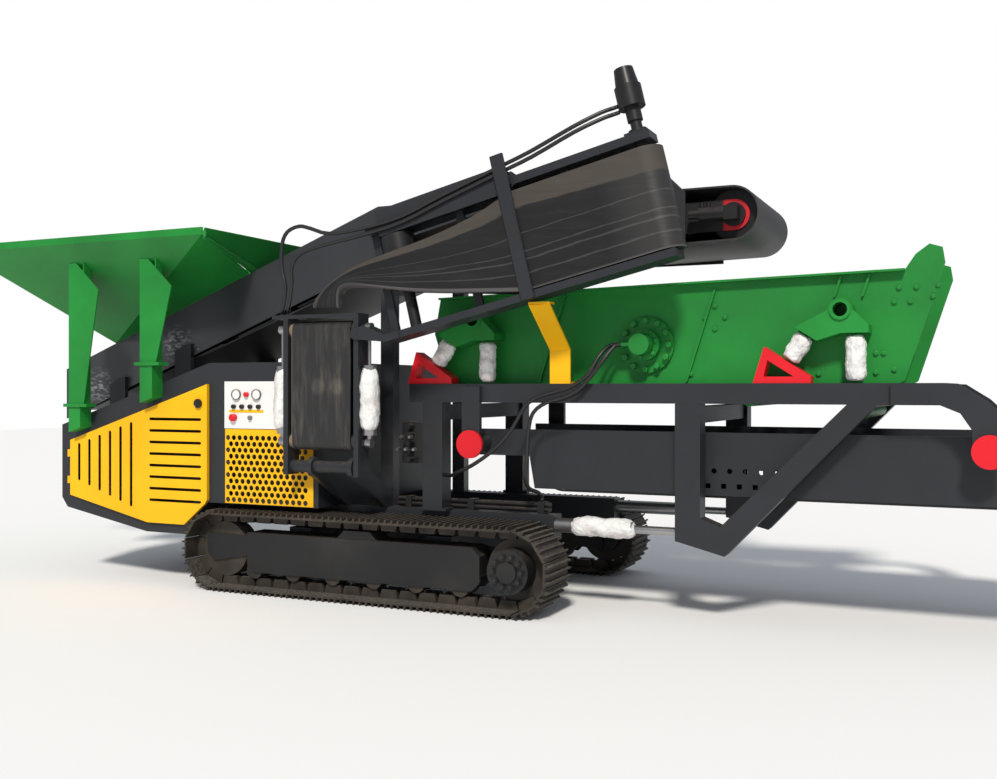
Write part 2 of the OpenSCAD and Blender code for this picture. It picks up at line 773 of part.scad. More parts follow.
collar_w = 250;
collar_d = 110;
collar_t = 24;
post_collar_z = [1420, 1752];
post_top_z = 2570;
post_slant = 225;
post_y = housing_y + 120;
post_depth = 75;
stub_foot_gap = 45;
function door_top_at(x) = roof_at(x) - door_drop;
// Space above the hopper's flared sheet, cut from what stands under it
module above_hopper() {
  prism_x(hopper_x0, hopper_l) polygon([
    [-hopper_y - post_depth, rim_low + flare * post_depth - 1], [-feed_y, throat[2] - 1],
    [-feed_y, hopper_rim + 100], [-hopper_y - post_depth, hopper_rim + 100]
  ]);
}
module hopper_post(x, collar_z) {
  difference() {
    union() {
      prism_y(-post_y, post_t) polygon([
        [x, collar_z], [x + post_mid_w, collar_z], [x + post_top_w, post_top_z - post_slant],
        [x + post_top_w / 4, post_top_z], [x, post_top_z]
      ]);
      for (dx = [0, post_mid_w - post_t])
        translate([x + dx, -post_y, collar_z])
          cube([post_t, post_depth, post_top_z - collar_z]);
    }
    above_hopper();
  }
  translate([x - (collar_w - post_mid_w) / 2, -post_y - (collar_d - post_depth) / 2, collar_z - collar_t])
    cube([collar_w, collar_d, collar_t + weld]);
  prism_y(-post_y, post_y - housing_y - seat) polygon([
    [x, door_top_at(x) + stub_foot_gap], [x + stub_w, door_top_at(x + stub_w) + stub_foot_gap],
    [x + stub_w, collar_z], [x, collar_z]
  ]);
}
module hopper_posts() {
  placed() color(green) both_sides() for (i = [0, 1]) hopper_post(post_x[i], post_collar_z[i]);
}

// Screen box on its springs
screen_y = screen_w / 2;
screen_x0 = 400;
screen_tilt = 0.022;
screen_mid_x = 2050;
function screen_rim_at(x) = screen_top + (x - screen_mid_x) * screen_tilt;
screen_foot = 1500;
screen_end_x = 3690;
ear_x = 3920;
screen_outline = [
  [screen_x0 + 150, screen_foot], [screen_end_x - 150, screen_foot], [screen_end_x, screen_foot + 100],
  [ear_x, screen_rim_at(screen_end_x) + 30], [ear_x - 15, screen_rim_at(screen_end_x) + 125],
  [ear_x - 90, screen_rim_at(screen_end_x) + 150], [screen_end_x + 60, screen_rim_at(screen_end_x) + 90],
  [screen_end_x, screen_rim_at(screen_end_x)], [screen_x0 + 50, screen_rim_at(screen_x0)], [screen_x0, 1950]
];
flange_w = 60;
flange_t = 14;
rib_lean = 17.5;
rib_w = 14;
rib_d = 26;
ribs = [[2315, 1590, 640], [3270, 2125, 140], [3440, 2125, 145], [1250, 1590, 640]];
module screen_side() {
  prism_y(-screen_y, screen_t) polygon(screen_outline);
  prism_y(-screen_y - flange_w, flange_w + weld) polygon([
    [screen_x0 + 60, screen_rim_at(screen_x0) - flange_t], [screen_end_x, screen_rim_at(screen_end_x)
      - flange_t],
    [screen_end_x, screen_rim_at(screen_end_x)], [screen_x0 + 60, screen_rim_at(screen_x0)]
  ]);
  for (r = ribs) prism_y(-screen_y - rib_d, rib_d + weld)
    translate([r[0], r[1]]) rotate(-rib_lean) translate([-rib_w / 2, 0]) square([rib_w, r[2]]);
}
module screen_sides() placed() color(green) both_sides() screen_side();
inner_y = screen_y - screen_t - seat;
deck_tilt = -6.2;
upper_deck_at = [560, 2120];
lower_deck_at = [600, 1745];
upper_deck_l = 3120;
lower_deck_l = 2940;
deck_t = 22;
deck_bar = 26;
deck_cells = [26, 10];
module deck(at, l) {
  cell_x = (l - deck_bar) / deck_cells[0];
  cell_y = (2 * inner_y - deck_bar) / deck_cells[1];
  translate([at[0], -inner_y, at[1]]) rotate([0, -deck_tilt, 0]) linear_extrude(deck_t) difference() {
    square([l, 2 * inner_y]);
    for (i = [0:deck_cells[0] - 1]) for (j = [0:deck_cells[1] - 1])
      translate([deck_bar + i * cell_x, deck_bar + j * cell_y]) square([cell_x - deck_bar,
        cell_y - deck_bar]);
  }
}
module upper_deck() placed() color(steel) deck(upper_deck_at, upper_deck_l);
module lower_deck() placed() color(steel) deck(lower_deck_at, lower_deck_l);
deck_tube_r = 42;
tube_stations = [0.03, 0.27, 0.73, 0.97];
module tubes_under(at, l) {
  for (k = tube_stations) {
    run = k * l;
    x = at[0] + run * cos(deck_tilt) + (deck_tube_r + seat) * sin(deck_tilt);
    z = at[1] + run * sin(deck_tilt) - (deck_tube_r + seat) * cos(deck_tilt);
    rod_y(x, z, deck_tube_r, -inner_y, 2 * inner_y);
  }
}
module screen_cross_tubes() {
  placed() color(green) {
    tubes_under(upper_deck_at, upper_deck_l);
    tubes_under(lower_deck_at, lower_deck_l);
  }
}
back_t = 12;
back_inset = 60;
back_drop = 330;
module screen_back_plate() {
  placed() color(green) translate([screen_x0 + back_inset, -inner_y, upper_deck_at[1] - back_drop])
    cube([back_t, 2 * inner_y, back_drop + screen_rim_at(screen_x0) - upper_deck_at[1]]);
}
exciter_x = 2040;
exciter_z = 1842;
exciter_r = 105;
exciter_flange_r = 190;
exciter_flange_t = 26;
module exciter() {
  placed() color(green) {
    rod_y(exciter_x, exciter_z, exciter_r, -inner_y, 2 * inner_y);
    both_sides() rod_y(exciter_x, exciter_z, exciter_flange_r, -screen_y - exciter_flange_t - seat,
      exciter_flange_t);
  }
}
exciter_cap_r = 105;
exciter_cap_t = 60;
exciter_body_r = 70;
exciter_body_l = 120;
exciter_port_y = [-735, -779];
module exciter_motor() {
  y0 = -screen_y - exciter_flange_t - 2 * seat;
  placed() color(green) {
    rod_y(exciter_x, exciter_z, exciter_cap_r, y0 - exciter_cap_t, exciter_cap_t);
    rod_y(exciter_x, exciter_z, exciter_body_r, y0 - exciter_cap_t - exciter_body_l, exciter_body_l + weld);
    for (y = exciter_port_y) rod_x(y, exciter_z, port_r, exciter_x - exciter_body_r - port_l,
      exciter_body_r + port_l);
  }
}
// Pressure and return hoses from the exciter's motor, clipped along the beam
module exciter_hoses() {
  exciter_hose_x = exciter_x - exciter_body_r - port_l - seat;
  pressure_route = [
    [exciter_hose_x, exciter_port_y[0], exciter_z], [exciter_hose_x - hose_lead, exciter_port_y[0],
      exciter_z],
    [1820, -765, 1835], [1765, -825, 1760], [1700, -860, 1640],
    [1580, -862, 1560], [1450, -862, 1520], [1330, -862, 1485], [1240, -866, 1420], [1160, -885, 1280],
    [1080, -892, 1180], [980, -898, 1090], [840, -900, 1000], [700, -850, 945],
    [left_post_x + left_post_w + 2 * hose_lead, -760, 920], [left_post_x + left_post_w + hose_lead, -730,
      915],
    [left_post_x + left_post_w + seat, -730, 915]
  ];
  return_route = [
    [exciter_hose_x, exciter_port_y[1], exciter_z], [exciter_hose_x - hose_lead, exciter_port_y[1],
      exciter_z],
    [1840, -805, 1800], [1785, -842, 1715], [1660, -862, 1560],
    [1540, -864, 1490], [1400, -864, 1450], [1300, -866, 1375], [1272, -880, 1240], [1262, -880, 1060],
    [1240, -860, 930], [1240, -790, 850], [1265, -690, 815], [1275, -640, 745 + hose_lead], [1275, -640, 745]
  ];
  placed() color(black) for (route = [pressure_route, return_route]) tube(led(route), hose_r);
}
// One spring station: an upright spring and an inclined one on a triangular seat
station_x = 3412;
spring_top = 1890;
lean_deg = 50;
seat_x0 = -622;
seat_l = 360;
seat_h = 232;
seat_w = 120;
seat_wall = 42;
station_y = -beam_span / 2 + beam_w / 2;
// Middle of the sloping face of the seat, where the inclined spring stands
slope_deg = atan2(seat_h - seat_wall, seat_l - 70);
lean_foot = [seat_x0 + 70 + (seat_l - 70) / 2, (seat_h + seat_wall) / 2];
lean_l = 205;
module at_stations() {
  for (dx = [0, -station_pitch]) translate([station_x + dx, 0, 0]) children();
}
module spring_seats() {
  placed() color(red) both_sides() at_stations() prism_y(station_y - seat_w / 2, seat_w)
    translate([0, beam_top + seat]) difference() {
      polygon([[seat_x0, 0], [seat_x0 + seat_l, 0], [seat_x0 + seat_l, seat_wall], [seat_x0 + 70, seat_h]]);
      polygon([
        [seat_x0 + seat_wall + 25, seat_wall], [seat_x0 + seat_l - 105, seat_wall],
        [seat_x0 + seat_wall + 50, seat_h - 85]
      ]);
    }
}
wrap_neck = 0.86;
module wrapped_spring(l) {
  rotate_extrude() polygon([
    [0, 0], [spring_r * wrap_neck, 0], [spring_r, l * 0.15], [spring_r, l * 0.4], [spring_r * wrap_neck,
      l * 0.55],
    [spring_r, l * 0.72], [spring_r, l * 0.9], [spring_r * wrap_neck, l], [0, l]
  ]);
}
module springs() {
  placed() color(white) both_sides() at_stations() {
    translate([0, station_y, beam_top + seat]) wrapped_spring(spring_top - beam_top - 2 * seat);
    translate([lean_foot[0], station_y, beam_top + lean_foot[1]]) rotate([0, 90 - slope_deg_axis(), 0])
      translate([0, 0, 2 * seat]) wrapped_spring(lean_l - 3 * seat);
  }
}
// The inclined spring stands square on its seat
function slope_deg_axis() = 90 - slope_deg;
bracket_hole_r = 44;
ring_r = 72;
ring_at = [-85, spring_top + 145];
ring_step = 8;
ring_proud = 16;
saddle_edge = 10;
saddle_h = 50;
module spring_brackets() {
  a = slope_deg_axis();
  foot = [lean_foot[0] + lean_l * cos(a), beam_top + lean_foot[1] + lean_l * sin(a)];
  side = [cos(a + 90), sin(a + 90)] * (spring_r + 8);
  reach = -station_y + spring_r - screen_y;
  placed() color(green) both_sides() at_stations() difference() {
    union() {
      prism_y(-screen_y - reach - seat, reach) {
        polygon([
          foot + side, foot - side, [-spring_r - saddle_edge, spring_top], [spring_r + saddle_edge,
            spring_top],
          [spring_r + saddle_edge, spring_top + saddle_h], ring_at + [ring_r, 0], ring_at + [0, ring_r],
          ring_at - [ring_r, 0]
        ]);
        translate(ring_at) circle(ring_r);
      }
      rod_y(ring_at[0], ring_at[1], ring_r - ring_step, -screen_y - reach - ring_proud, ring_proud + weld);
    }
    rod_y(ring_at[0], ring_at[1], bracket_hole_r, -screen_y - reach - ring_proud - weld, reach +
      ring_proud + 2 * weld);
  }
}

// Subframe under the screen
beam_x0 = 290;
beam_y0 = -beam_span / 2;
beam_foot = beam_top - beam_h;
module subframe_beams() {
  placed() color(slate) both_sides()
    translate([beam_x0, beam_y0, beam_foot]) cube([beam_x1 - beam_x0, beam_w, beam_h]);
}
left_post_x = 400;
left_post_w = 160;
right_post_x = 2284;
right_post_w = 168;
right_post_foot = 700;
foot_over = 30;
foot_grip = 45;
foot_t = 18;
module subframe_posts() {
  placed() color(slate) both_sides() {
    translate([left_post_x, beam_y0, rail_top + seat]) cube([left_post_w, beam_w,
      beam_foot - rail_top - 2 * seat]);
    translate([left_post_x - foot_over, beam_y0, rail_top + seat])
      cube([left_post_w + 2 * foot_over, rail_y0 + foot_grip - beam_y0, foot_t]);
    translate([right_post_x, beam_y0, right_post_foot])
      cube([right_post_w, beam_w, beam_foot - right_post_foot - seat]);
  }
}
vee_x = 2610;
vee_z = 463;
heel_z = 545;
diagonal_x0 = 3365;
diagonal_x1 = 3541;
vee_in_x = 2580;
vee_rise = 50;
// A leg runs from under the right post to its heel and up to the beam in one piece
module subframe_vee_legs() {
  placed() color(slate) both_sides() prism_y(beam_y0, beam_w) polygon([
    [right_post_x, heel_z], [vee_x, vee_z], [diagonal_x1, beam_foot - seat], [diagonal_x0, beam_foot - seat],
    [vee_in_x, right_post_foot - vee_rise], [right_post_x + right_post_w, right_post_foot - seat],
    [right_post_x, right_post_foot - seat]
  ]);
}
tie_h = 110;
tie_w = 120;
tie_drop = 20;
module subframe_cross_beams() {
  y = -beam_y0 - beam_w - seat;
  placed() color(slate) for (x = [left_post_x + left_post_w / 2, right_post_x + right_post_w / 2])
    translate([x - tie_w / 2, -y, beam_foot - tie_drop - tie_h]) cube([tie_w, 2 * y, tie_h]);
}

// Tail conveyor under the screen
tail_y = tail_w / 2;
tail_wall_t = 14;
tail_x0 = 1170;
tail_z1 = 1255;
tail_z0 = tail_z1 - tail_h;
tail_taper_x = tail_head_x - 650;
tail_drum_z = 990;
tongue_x = 700;
tongue_h = 190;
left_cap = [809, 1151];
right_cap = [4169, 1177];
round_hole_r = 18;
square_hole = 34;
wall_hole_x0 = 2500;
wall_hole_step = 104;
wall_hole_count = 5;
tail_outline = [
  [tongue_x, tail_z1 - tongue_h], [tail_x0, tail_z1 - tongue_h], [tail_x0 + 40, tail_z0],
  [tail_taper_x, tail_z0], [tail_head_x + feed_nose, tail_drum_z - feed_nose],
  [tail_head_x + feed_nose, tail_drum_z + feed_nose], [tail_taper_x, tail_z1], [tongue_x, tail_z1]
];
cap_r_red = 100;
cap_t_red = 26;
boss_r = 62;
arm_t = 40;
cap_y = -beam_span / 2 - arm_t;
module tail_walls() {
  boss_l = beam_span / 2 - tail_y - seat;
  placed() color(slate) both_sides() {
    prism_y(-tail_y, tail_wall_t) difference() {
      polygon(tail_outline);
      for (i = [0:wall_hole_count - 1]) {
        translate([wall_hole_x0 + i * wall_hole_step, tail_z1 - 255]) circle(round_hole_r);
        translate([wall_hole_x0 - 40 + i * wall_hole_step, tail_z1 - 355]) square(square_hole,
          center = true);
      }
      translate([tail_head_x, tail_drum_z]) circle(shaft_r + pin_play);
    }
    for (c = [left_cap, right_cap]) rod_y(c[0], c[1], boss_r, -tail_y - boss_l, boss_l + weld);
  }
}
tail_start_x = 1420;
tail_belt_w = tail_w - 2 * tail_wall_t - 40;
module tail_belt() {
  placed() color(belt_black) prism_y(-tail_belt_w / 2, tail_belt_w)
    translate([tail_start_x, tail_drum_z]) belt_loop(tail_head_x - tail_start_x, tail_drum_r, belt_t);
}
idler_r = 45;
idler_x = [1700, 2300, 3010, 3970];
module tail_drums() {
  placed() color(steel) {
    drum(tail_head_x, tail_drum_z, tail_drum_r - seat, tail_belt_w, tail_w);
    drum(tail_start_x, tail_drum_z, tail_drum_r - seat, tail_belt_w, tail_w - 2 * tail_wall_t - 2 * seat);
    for (x = idler_x)
      rod_y(x, tail_drum_z + tail_drum_r - idler_r - seat, idler_r, -tail_y + tail_wall_t + seat,
        tail_w - 2 * tail_wall_t - 2 * seat);
  }
}
neck_outline = [
  [beam_x1 - 130, beam_foot], [3900, beam_foot], [4010, 1400], [4075, 1300], [4075, 1100], [4262, 1100],
    [4262, 1370],
  [4160, 1470], [4000, 1576], [3930, beam_top], [beam_x1 - 130, beam_top]
];
hanger_w = 140;
module tail_arms() {
  placed() color(slate) both_sides() {
    prism_y(cap_y, arm_t - seat) polygon(neck_outline);
    prism_y(cap_y, arm_t - seat) polygon([
      [left_cap[0] - hanger_w / 2, beam_top - 20], [left_cap[0] - hanger_w / 2, left_cap[1] - 60],
      [left_cap[0] + hanger_w / 2, left_cap[1] - 60], [left_cap[0] + hanger_w / 2, beam_top - 20]
    ]);
  }
}
module pivot_caps() {
  placed() color(red) both_sides() for (c = [left_cap, right_cap])
    rod_y(c[0], c[1], cap_r_red, cap_y - cap_t_red - seat, cap_t_red);
}
ram_y = -beam_span / 2 + 125;
ram_z = 590;
ram_r = 50;
ram_rod_r = 28;
ram_l = 560;
module lift_rams() {
  x0 = rail_x1 + seat;
  placed() color(steel) both_sides() {
    rod_x(ram_y, ram_z, ram_r, x0, ram_l);
    rod_x(ram_y, ram_z, ram_rod_r, x0 + ram_l - weld, right_post_x - x0 - ram_l + weld - seat);
  }
}

// Side conveyor, folded against the near side
tower_x = -200;
tower_y = -1160;
pivot_z = 980;
pivot_r = 45;
tower_foot = 60;
tower_rail_w = 40;
tower_top_z = pivot_z + tower_h;
rail_xs = [tower_x - tower_w / 2, tower_x + tower_w / 2 - tower_rail_w];
ear_w = 40;
ear_r = 72;
ear_xs = [-320, 20];
module tower_base() {
  placed() color(slate) for (x = ear_xs) difference() {
    union() {
      rod_x(tower_y, pivot_z, ear_r, x, ear_w);
      prism_x(x, ear_w) polygon([
        [tower_y - 20, pivot_z - 65], [-740, rail_top + seat], [-645, rail_top + seat], [-645, rail_top +
          110],
        [tower_y + 20, pivot_z + 65]
      ]);
    }
    rod_x(tower_y, pivot_z, pivot_r + pin_play, x - weld, ear_w + 2 * weld);
  }
}
plate_over = 100;
plate_t = 28;
hinge = [tower_x + tower_w / 2 - tower_rail_w / 2, 1930];
fold_pin_r = 20;
fold_pin_out = 18;
tower_port_x = [-559, -508];
tower_port_y = -1190;
tower_port_r = 20;
tower_port_h = 8;
module tower_frame() {
  y0 = tower_y - tower_d / 2;
  placed() color(slate) {
    for (x = rail_xs) translate([x, y0, pivot_z - tower_foot]) cube([tower_rail_w, tower_d, tower_h +
      tower_foot]);
    rod_x(tower_y, pivot_z, pivot_r, rail_xs[0] + weld, tower_w - 2 * weld);
    translate([rail_xs[0] - plate_over, y0, tower_top_z - plate_t]) cube([tower_w - tower_rail_w +
      plate_over, tower_d, plate_t]);
    rod_y(hinge[0], hinge[1], fold_pin_r, y0 - fold_pin_out, tower_d + 2 * fold_pin_out);
    for (x = tower_port_x) translate([x, tower_port_y, tower_top_z - weld]) cylinder(r = tower_port_r,
      h = tower_port_h + weld);
    for (side = [-1, 1]) for (z = cylinder_eye_z)
      translate([side < 0 ? rail_xs[0] - eye_lug : rail_xs[1] + tower_rail_w - weld,
        tower_y - eye_lug_w / 2, z - eye_lug_w / 2])
        cube([eye_lug + weld, eye_lug_w, eye_lug_w]);
  }
}
tower_drum_r = 52;
tower_belt_w = tower_w - 2 * tower_rail_w - 60;
tower_belt_z0 = pivot_z + 185;
tower_belt_l = tower_h - 185 - plate_t - tower_drum_r - belt_t - 20;
module tower_belt() {
  placed() color(belt_black) {
    prism_x(tower_x - tower_belt_w / 2, tower_belt_w)
      translate([tower_y, tower_belt_z0]) rotate(90) belt_loop(tower_belt_l, tower_drum_r, belt_t);
    for (z = [tower_belt_z0, tower_belt_z0 + tower_belt_l]) rod_x(
      tower_y, z, tower_drum_r + weld, tower_x - tower_w / 2 + tower_rail_w + seat,
        tower_w - 2 * tower_rail_w - 2 * seat
    );
  }
}
cylinder_eye_z = [1160, 1978];
eye_lug = 28;
eye_lug_w = 46;
eye_r = 34;
eye_w = 44;
barrel_r = 48;
barrel_z0 = 1215;
barrel_z1 = 1710;
rod_r = 13;
module tower_cylinder(x) {
  for (z = cylinder_eye_z) rod_x(tower_y, z, eye_r, x - eye_w / 2, eye_w);
  translate([x, tower_y, cylinder_eye_z[0]]) cylinder(r = rod_r * 1.6, h = barrel_z0 - cylinder_eye_z[0] +
    weld);
  translate([x, tower_y, barrel_z0]) cylinder(r = barrel_r, h = barrel_z1 - barrel_z0);
  translate([x, tower_y, barrel_z1 - weld]) cylinder(r = rod_r, h = cylinder_eye_z[1] - barrel_z1 + weld);
}
module tower_cylinders() {
  offset_x = eye_lug + eye_w / 2 + seat;
  placed() color(steel) {
    tower_cylinder(rail_xs[0] - offset_x);
    tower_cylinder(rail_xs[1] + tower_rail_w + offset_x);
  }
}

// Head section: drawn along its own length u and across it w, turned to the folded angle about the hinge
module folded() {
  placed() translate([hinge[0], 0, hinge[1]]) rotate([0, -fold_angle, 0]) children();
}
head_u0 = 225;
head_rail_y0 = -1238;
head_rail_d = 200;
head_rail_h = 50;
head_rail_end = 90;
belt_low = -55;
belt_edge_gap = 10;
rail_low = belt_low - belt_edge_gap - head_rail_h;
belt_high = belt_low + head_belt_w;
beam_gap = 50;
head_beam_w = belt_high + beam_gap;
head_beam_h = 55;
head_beam_y0 = -1200;
head_beam_d = 190;
cheek_u = [330, 1330];
cheek_t = 12;
cheek_top = 805;
cheek_low = belt_high + belt_edge_gap;
arm_plate_t = 12;
arm_w = 80;
arm_reach = 120;
head_belt_y = -1105;
head_tail_u = 420;
head_tie_us = [225, 900, 1700];
head_tie_w = 60;
head_tie_d = 30;
clamp_u = 1290;
clamp_w = 95;
clamp_t = 22;
clamp_chamfer = 8;
clamp_gap = 4;
clamp_top = 870;
clamp_y = head_belt_y - head_drum_r - belt_t - clamp_gap - clamp_t;
hinge_play = 4;
bearing_w = 150;
bearing_t = 20;
module head_frame() {
  tower_faces = [tower_y - tower_d / 2 - hinge_play - arm_plate_t, tower_y + tower_d / 2 + hinge_play];
  head_end = head_l + head_rail_end;
  color(slate) folded() {
    translate([head_u0, head_rail_y0, rail_low]) cube([head_end - head_u0, head_rail_d, head_rail_h]);
    translate([head_u0, head_beam_y0, head_beam_w]) cube([head_end - head_u0, head_beam_d, head_beam_h]);
    for (y = [head_beam_y0, head_beam_y0 + head_beam_d - cheek_t]) prism_y(y, cheek_t) polygon([
      [cheek_u[0], cheek_low], [cheek_u[1], cheek_low], [cheek_u[1] + arm_w, head_beam_w + weld],
      [cheek_u[1] + arm_w, head_beam_w + head_beam_h - weld], [cheek_u[1], cheek_top], [cheek_u[0],
        cheek_top]
    ]);
    translate([head_l - bearing_w / 2, head_belt_y - bearing_w / 2, head_beam_w + head_beam_h - weld])
      cube([bearing_w, bearing_w, bearing_t + weld]);
    for (u = head_tie_us) translate([u, head_belt_y - head_tie_d / 2, rail_low + head_rail_h - weld])
      cube([head_tie_w, head_tie_d, head_beam_w - rail_low - head_rail_h + 2 * weld]);
    for (y = tower_faces) difference() {
      union() {
        rod_y(0, 0, arm_w / 2, y, arm_plate_t);
        prism_y(y, arm_plate_t) polygon([
          [0, arm_w / 2], [0, -arm_w / 2], [head_u0, rail_low], [head_u0 + arm_reach, rail_low],
          [head_u0 + arm_reach, rail_low + head_rail_h], [head_u0, rail_low + head_rail_h], [arm_w,
            arm_w / 2]
        ]);
      }
      rod_y(0, 0, fold_pin_r + pin_play, y - weld, arm_plate_t + 2 * weld);
    }
    translate([0, 0, rail_low]) linear_extrude(clamp_top - rail_low) polygon([
      [clamp_u, clamp_y + clamp_t], [clamp_u, clamp_y + clamp_chamfer], [clamp_u + clamp_chamfer, clamp_y],
      [clamp_u + clamp_w - clamp_chamfer, clamp_y], [clamp_u + clamp_w, clamp_y + clamp_chamfer],
      [clamp_u + clamp_w, clamp_y + clamp_t]
    ]);
    translate([clamp_u, clamp_y + clamp_t - weld, rail_low])
      cube([clamp_w, head_rail_y0 - clamp_y - clamp_t + 2 * weld, head_rail_h]);
    translate([clamp_u, clamp_y + clamp_t - weld, head_beam_w])
      cube([clamp_w, head_beam_y0 - clamp_y - clamp_t + 2 * weld, head_beam_h]);
  }
}
// The belt's lower edge lifts towards the fold, where the belt is loose
loose_u = 1300;
loose_rise = 385;
module under_belt() {
  prism_y(head_belt_y - 2 * head_drum_r, 4 * head_drum_r) polygon([
    [loose_u, belt_low], [-loose_u, belt_low + 2 * loose_rise], [-loose_u, belt_low - loose_rise],
    [loose_u, belt_low - loose_rise]
  ]);
}
module head_belt() {
  color(belt_black) folded() difference() {
    translate([head_tail_u, head_belt_y, belt_low])
      linear_extrude(head_belt_w) belt_loop(head_l - head_tail_u, head_drum_r, belt_t);
    under_belt();
  }
}
// Loose belt that laps the section's belt and curls back over the tower
curl_u = -200;
curl_r = 95;
curl_back = 140;
lap_u = 480;
slack_w0 = 180;
slack_top = 560;
slack_y = head_belt_y - head_drum_r - belt_t - seat;
module head_slack_belt() {
  curl = [curl_u, slack_y - belt_t + curl_r];
  color(belt_black) folded() difference() {
    translate([0, 0, slack_w0]) linear_extrude(slack_top - slack_w0) polygon(concat(
      [[lap_u, slack_y], [lap_u, slack_y - belt_t]], arc(curl, curl_r, 270, 90),
      [[curl_u + curl_back, curl[1] + curl_r], [curl_u + curl_back, curl[1] + curl_r - belt_t]],
      arc(curl, curl_r - belt_t, 90, 270)
    ));
    under_belt();
  }
}
module head_drum() {
  shaft_low = rail_low + head_rail_h + seat;
  color(steel) folded() for (u = [head_l, head_tail_u]) difference() {
    union() {
      translate([u, head_belt_y, belt_low]) cylinder(r = head_drum_r - seat, h = head_belt_w);
      translate([u, head_belt_y, shaft_low]) cylinder(r = shaft_r, h = head_beam_w - shaft_low - seat);
    }
    if (u == head_tail_u) under_tail_drum();
  }
}
// The tail drum stops short of its belt's lifted edge, on a plain shaft
module under_tail_drum() {
  short_w = belt_low + loose_rise * (loose_u - head_tail_u) / loose_u;
  translate([head_tail_u, head_belt_y, belt_low - weld]) difference() {
    cylinder(r = 2 * head_drum_r, h = short_w - belt_low + weld);
    translate([0, 0, -weld]) cylinder(r = shaft_r, h = short_w - belt_low + 3 * weld);
  }
}
// Motor on the drum's shaft: lower radius, upper radius and height of each step
motor_steps = [[60, 60, 20], [37, 37, 60], [50, 50, 90], [87, 87, 140], [77, 62, 120]];
function step_base(i) = i == 0 ? 0 : step_base(i - 1) + motor_steps[i - 1][2];
motor_foot = head_beam_w + head_beam_h + bearing_t + seat;
motor_body = 3;
module head_motor() {
  color(black) folded() for (i = [0:len(motor_steps) - 1])
    translate([head_l, head_belt_y, motor_foot + step_base(i) - (i > 0 ? weld : 0)])
      cylinder(r1 = motor_steps[i][0], r2 = motor_steps[i][1], h = motor_steps[i][2] + (i > 0 ? weld : 0));
}
// Twin hoses from ports on the tower, over the fold and along the section to the motor
motor_side_u = head_l - motor_steps[motor_body][0] - seat;
upper_hose = [
  [motor_side_u, -1105, 945], [motor_side_u - hose_lead, -1105, 945], [2060, -1150, 930], [1880, -1210,
    885], [1570, -1216, 826], [1309, -1216, 795],
  [876, -1216, 745], [535, -1216, 700], [200, -1216, 715], [-60, -1216, 760], [-200, -1216, 840],
  [-292, -1216, 885], [-400, -1216, 875], [-466, -1216, 800], [-507, -1216, 640], [-510, -1216, 490],
  [-560, -1200, 385], [-603, -1190, 314]
];
lower_hose = [
  [motor_side_u, -1105, 905], [motor_side_u - hose_lead, -1105, 905], [2060, -1150, 890], [1880, -1212,
    848], [1570, -1216, 788], [1309, -1216, 758],
  [876, -1216, 708], [535, -1216, 662], [200, -1216, 668], [-88, -1216, 690], [-320, -1216, 690],
  [-420, -1216, 620], [-450, -1216, 500], [-505, -1200, 385], [-553, -1190, 303]
];
module head_hoses() {
  color(black) folded() for (route = [upper_hose, lower_hose]) tube(led(route), hose_r);
}

// Transport brace that carries the folded head section
brace_x = 1400;
brace_w = 150;
brace_t = 14;
brace_foot_d = 110;
brace_knee_z = 1815;
brace_gap = 8;
function head_underside(x) = hinge[1] + (x - hinge[0]) * tan(fold_angle) + rail_low / cos(fold_angle);
module transport_brace() {
  y_foot = -beam_span / 2;
  y_head = head_rail_y0 + 60;
  top = head_underside(brace_x) - brace_gap;
  placed() color(yellow) prism_x(brace_x, brace_w) {
    translate([y_foot, beam_top + seat]) square([brace_foot_d, brace_t]);
    translate([y_foot, beam_top + seat]) square([brace_t, brace_knee_z - beam_top]);
    band([y_foot + brace_t / 2, brace_knee_z], [y_head + brace_t / 2, top - brace_t], brace_t);
    translate([y_foot + brace_t / 2, brace_knee_z]) circle(brace_t / 2);
    translate([y_head, top - brace_t]) square([90, brace_t]);
  }
}

// Hydraulics along the near side
valve_l = 170;
valve_h = 300;
valve_d = 150;
valve_z = 1000;
spool_count = 5;
spool_r = 20;
spool_l = 70;
module valve_block() {
  x0 = left_post_x - valve_l - seat;
  placed() color(black) {
    translate([x0, beam_y0, valve_z]) cube([valve_l, valve_d, valve_h]);
    for (i = [0:spool_count - 1])
      rod_y(x0 + valve_l / 2, valve_z + (i + 0.5) * valve_h / spool_count, spool_r, beam_y0 - spool_l,
        spool_l + weld);
  }
}
pipe_r = 15;
pipe_count = 4;
pipe_x0 = 110;
pipe_x1 = 1330;
pipe_step = 36;
clip_w = 50;
clip_x = [180, 700, 1250];
pipe_rise = 26;
pipe_inset = 75;
module hydraulic_pipes() {
  y0 = rail_y0 + pipe_inset;
  placed() color(black) {
    for (i = [0:pipe_count - 1])
      rod_x(y0 + 5 + (i % 2) * pipe_step, rail_top + pipe_rise + floor(i / 2) * pipe_step, pipe_r, pipe_x0,
        pipe_x1 - pipe_x0);
    for (x = clip_x)
      translate([x, y0 - 20, rail_top + seat]) cube([clip_w, pipe_step + 50, 2 * pipe_step + 10]);
  }
}

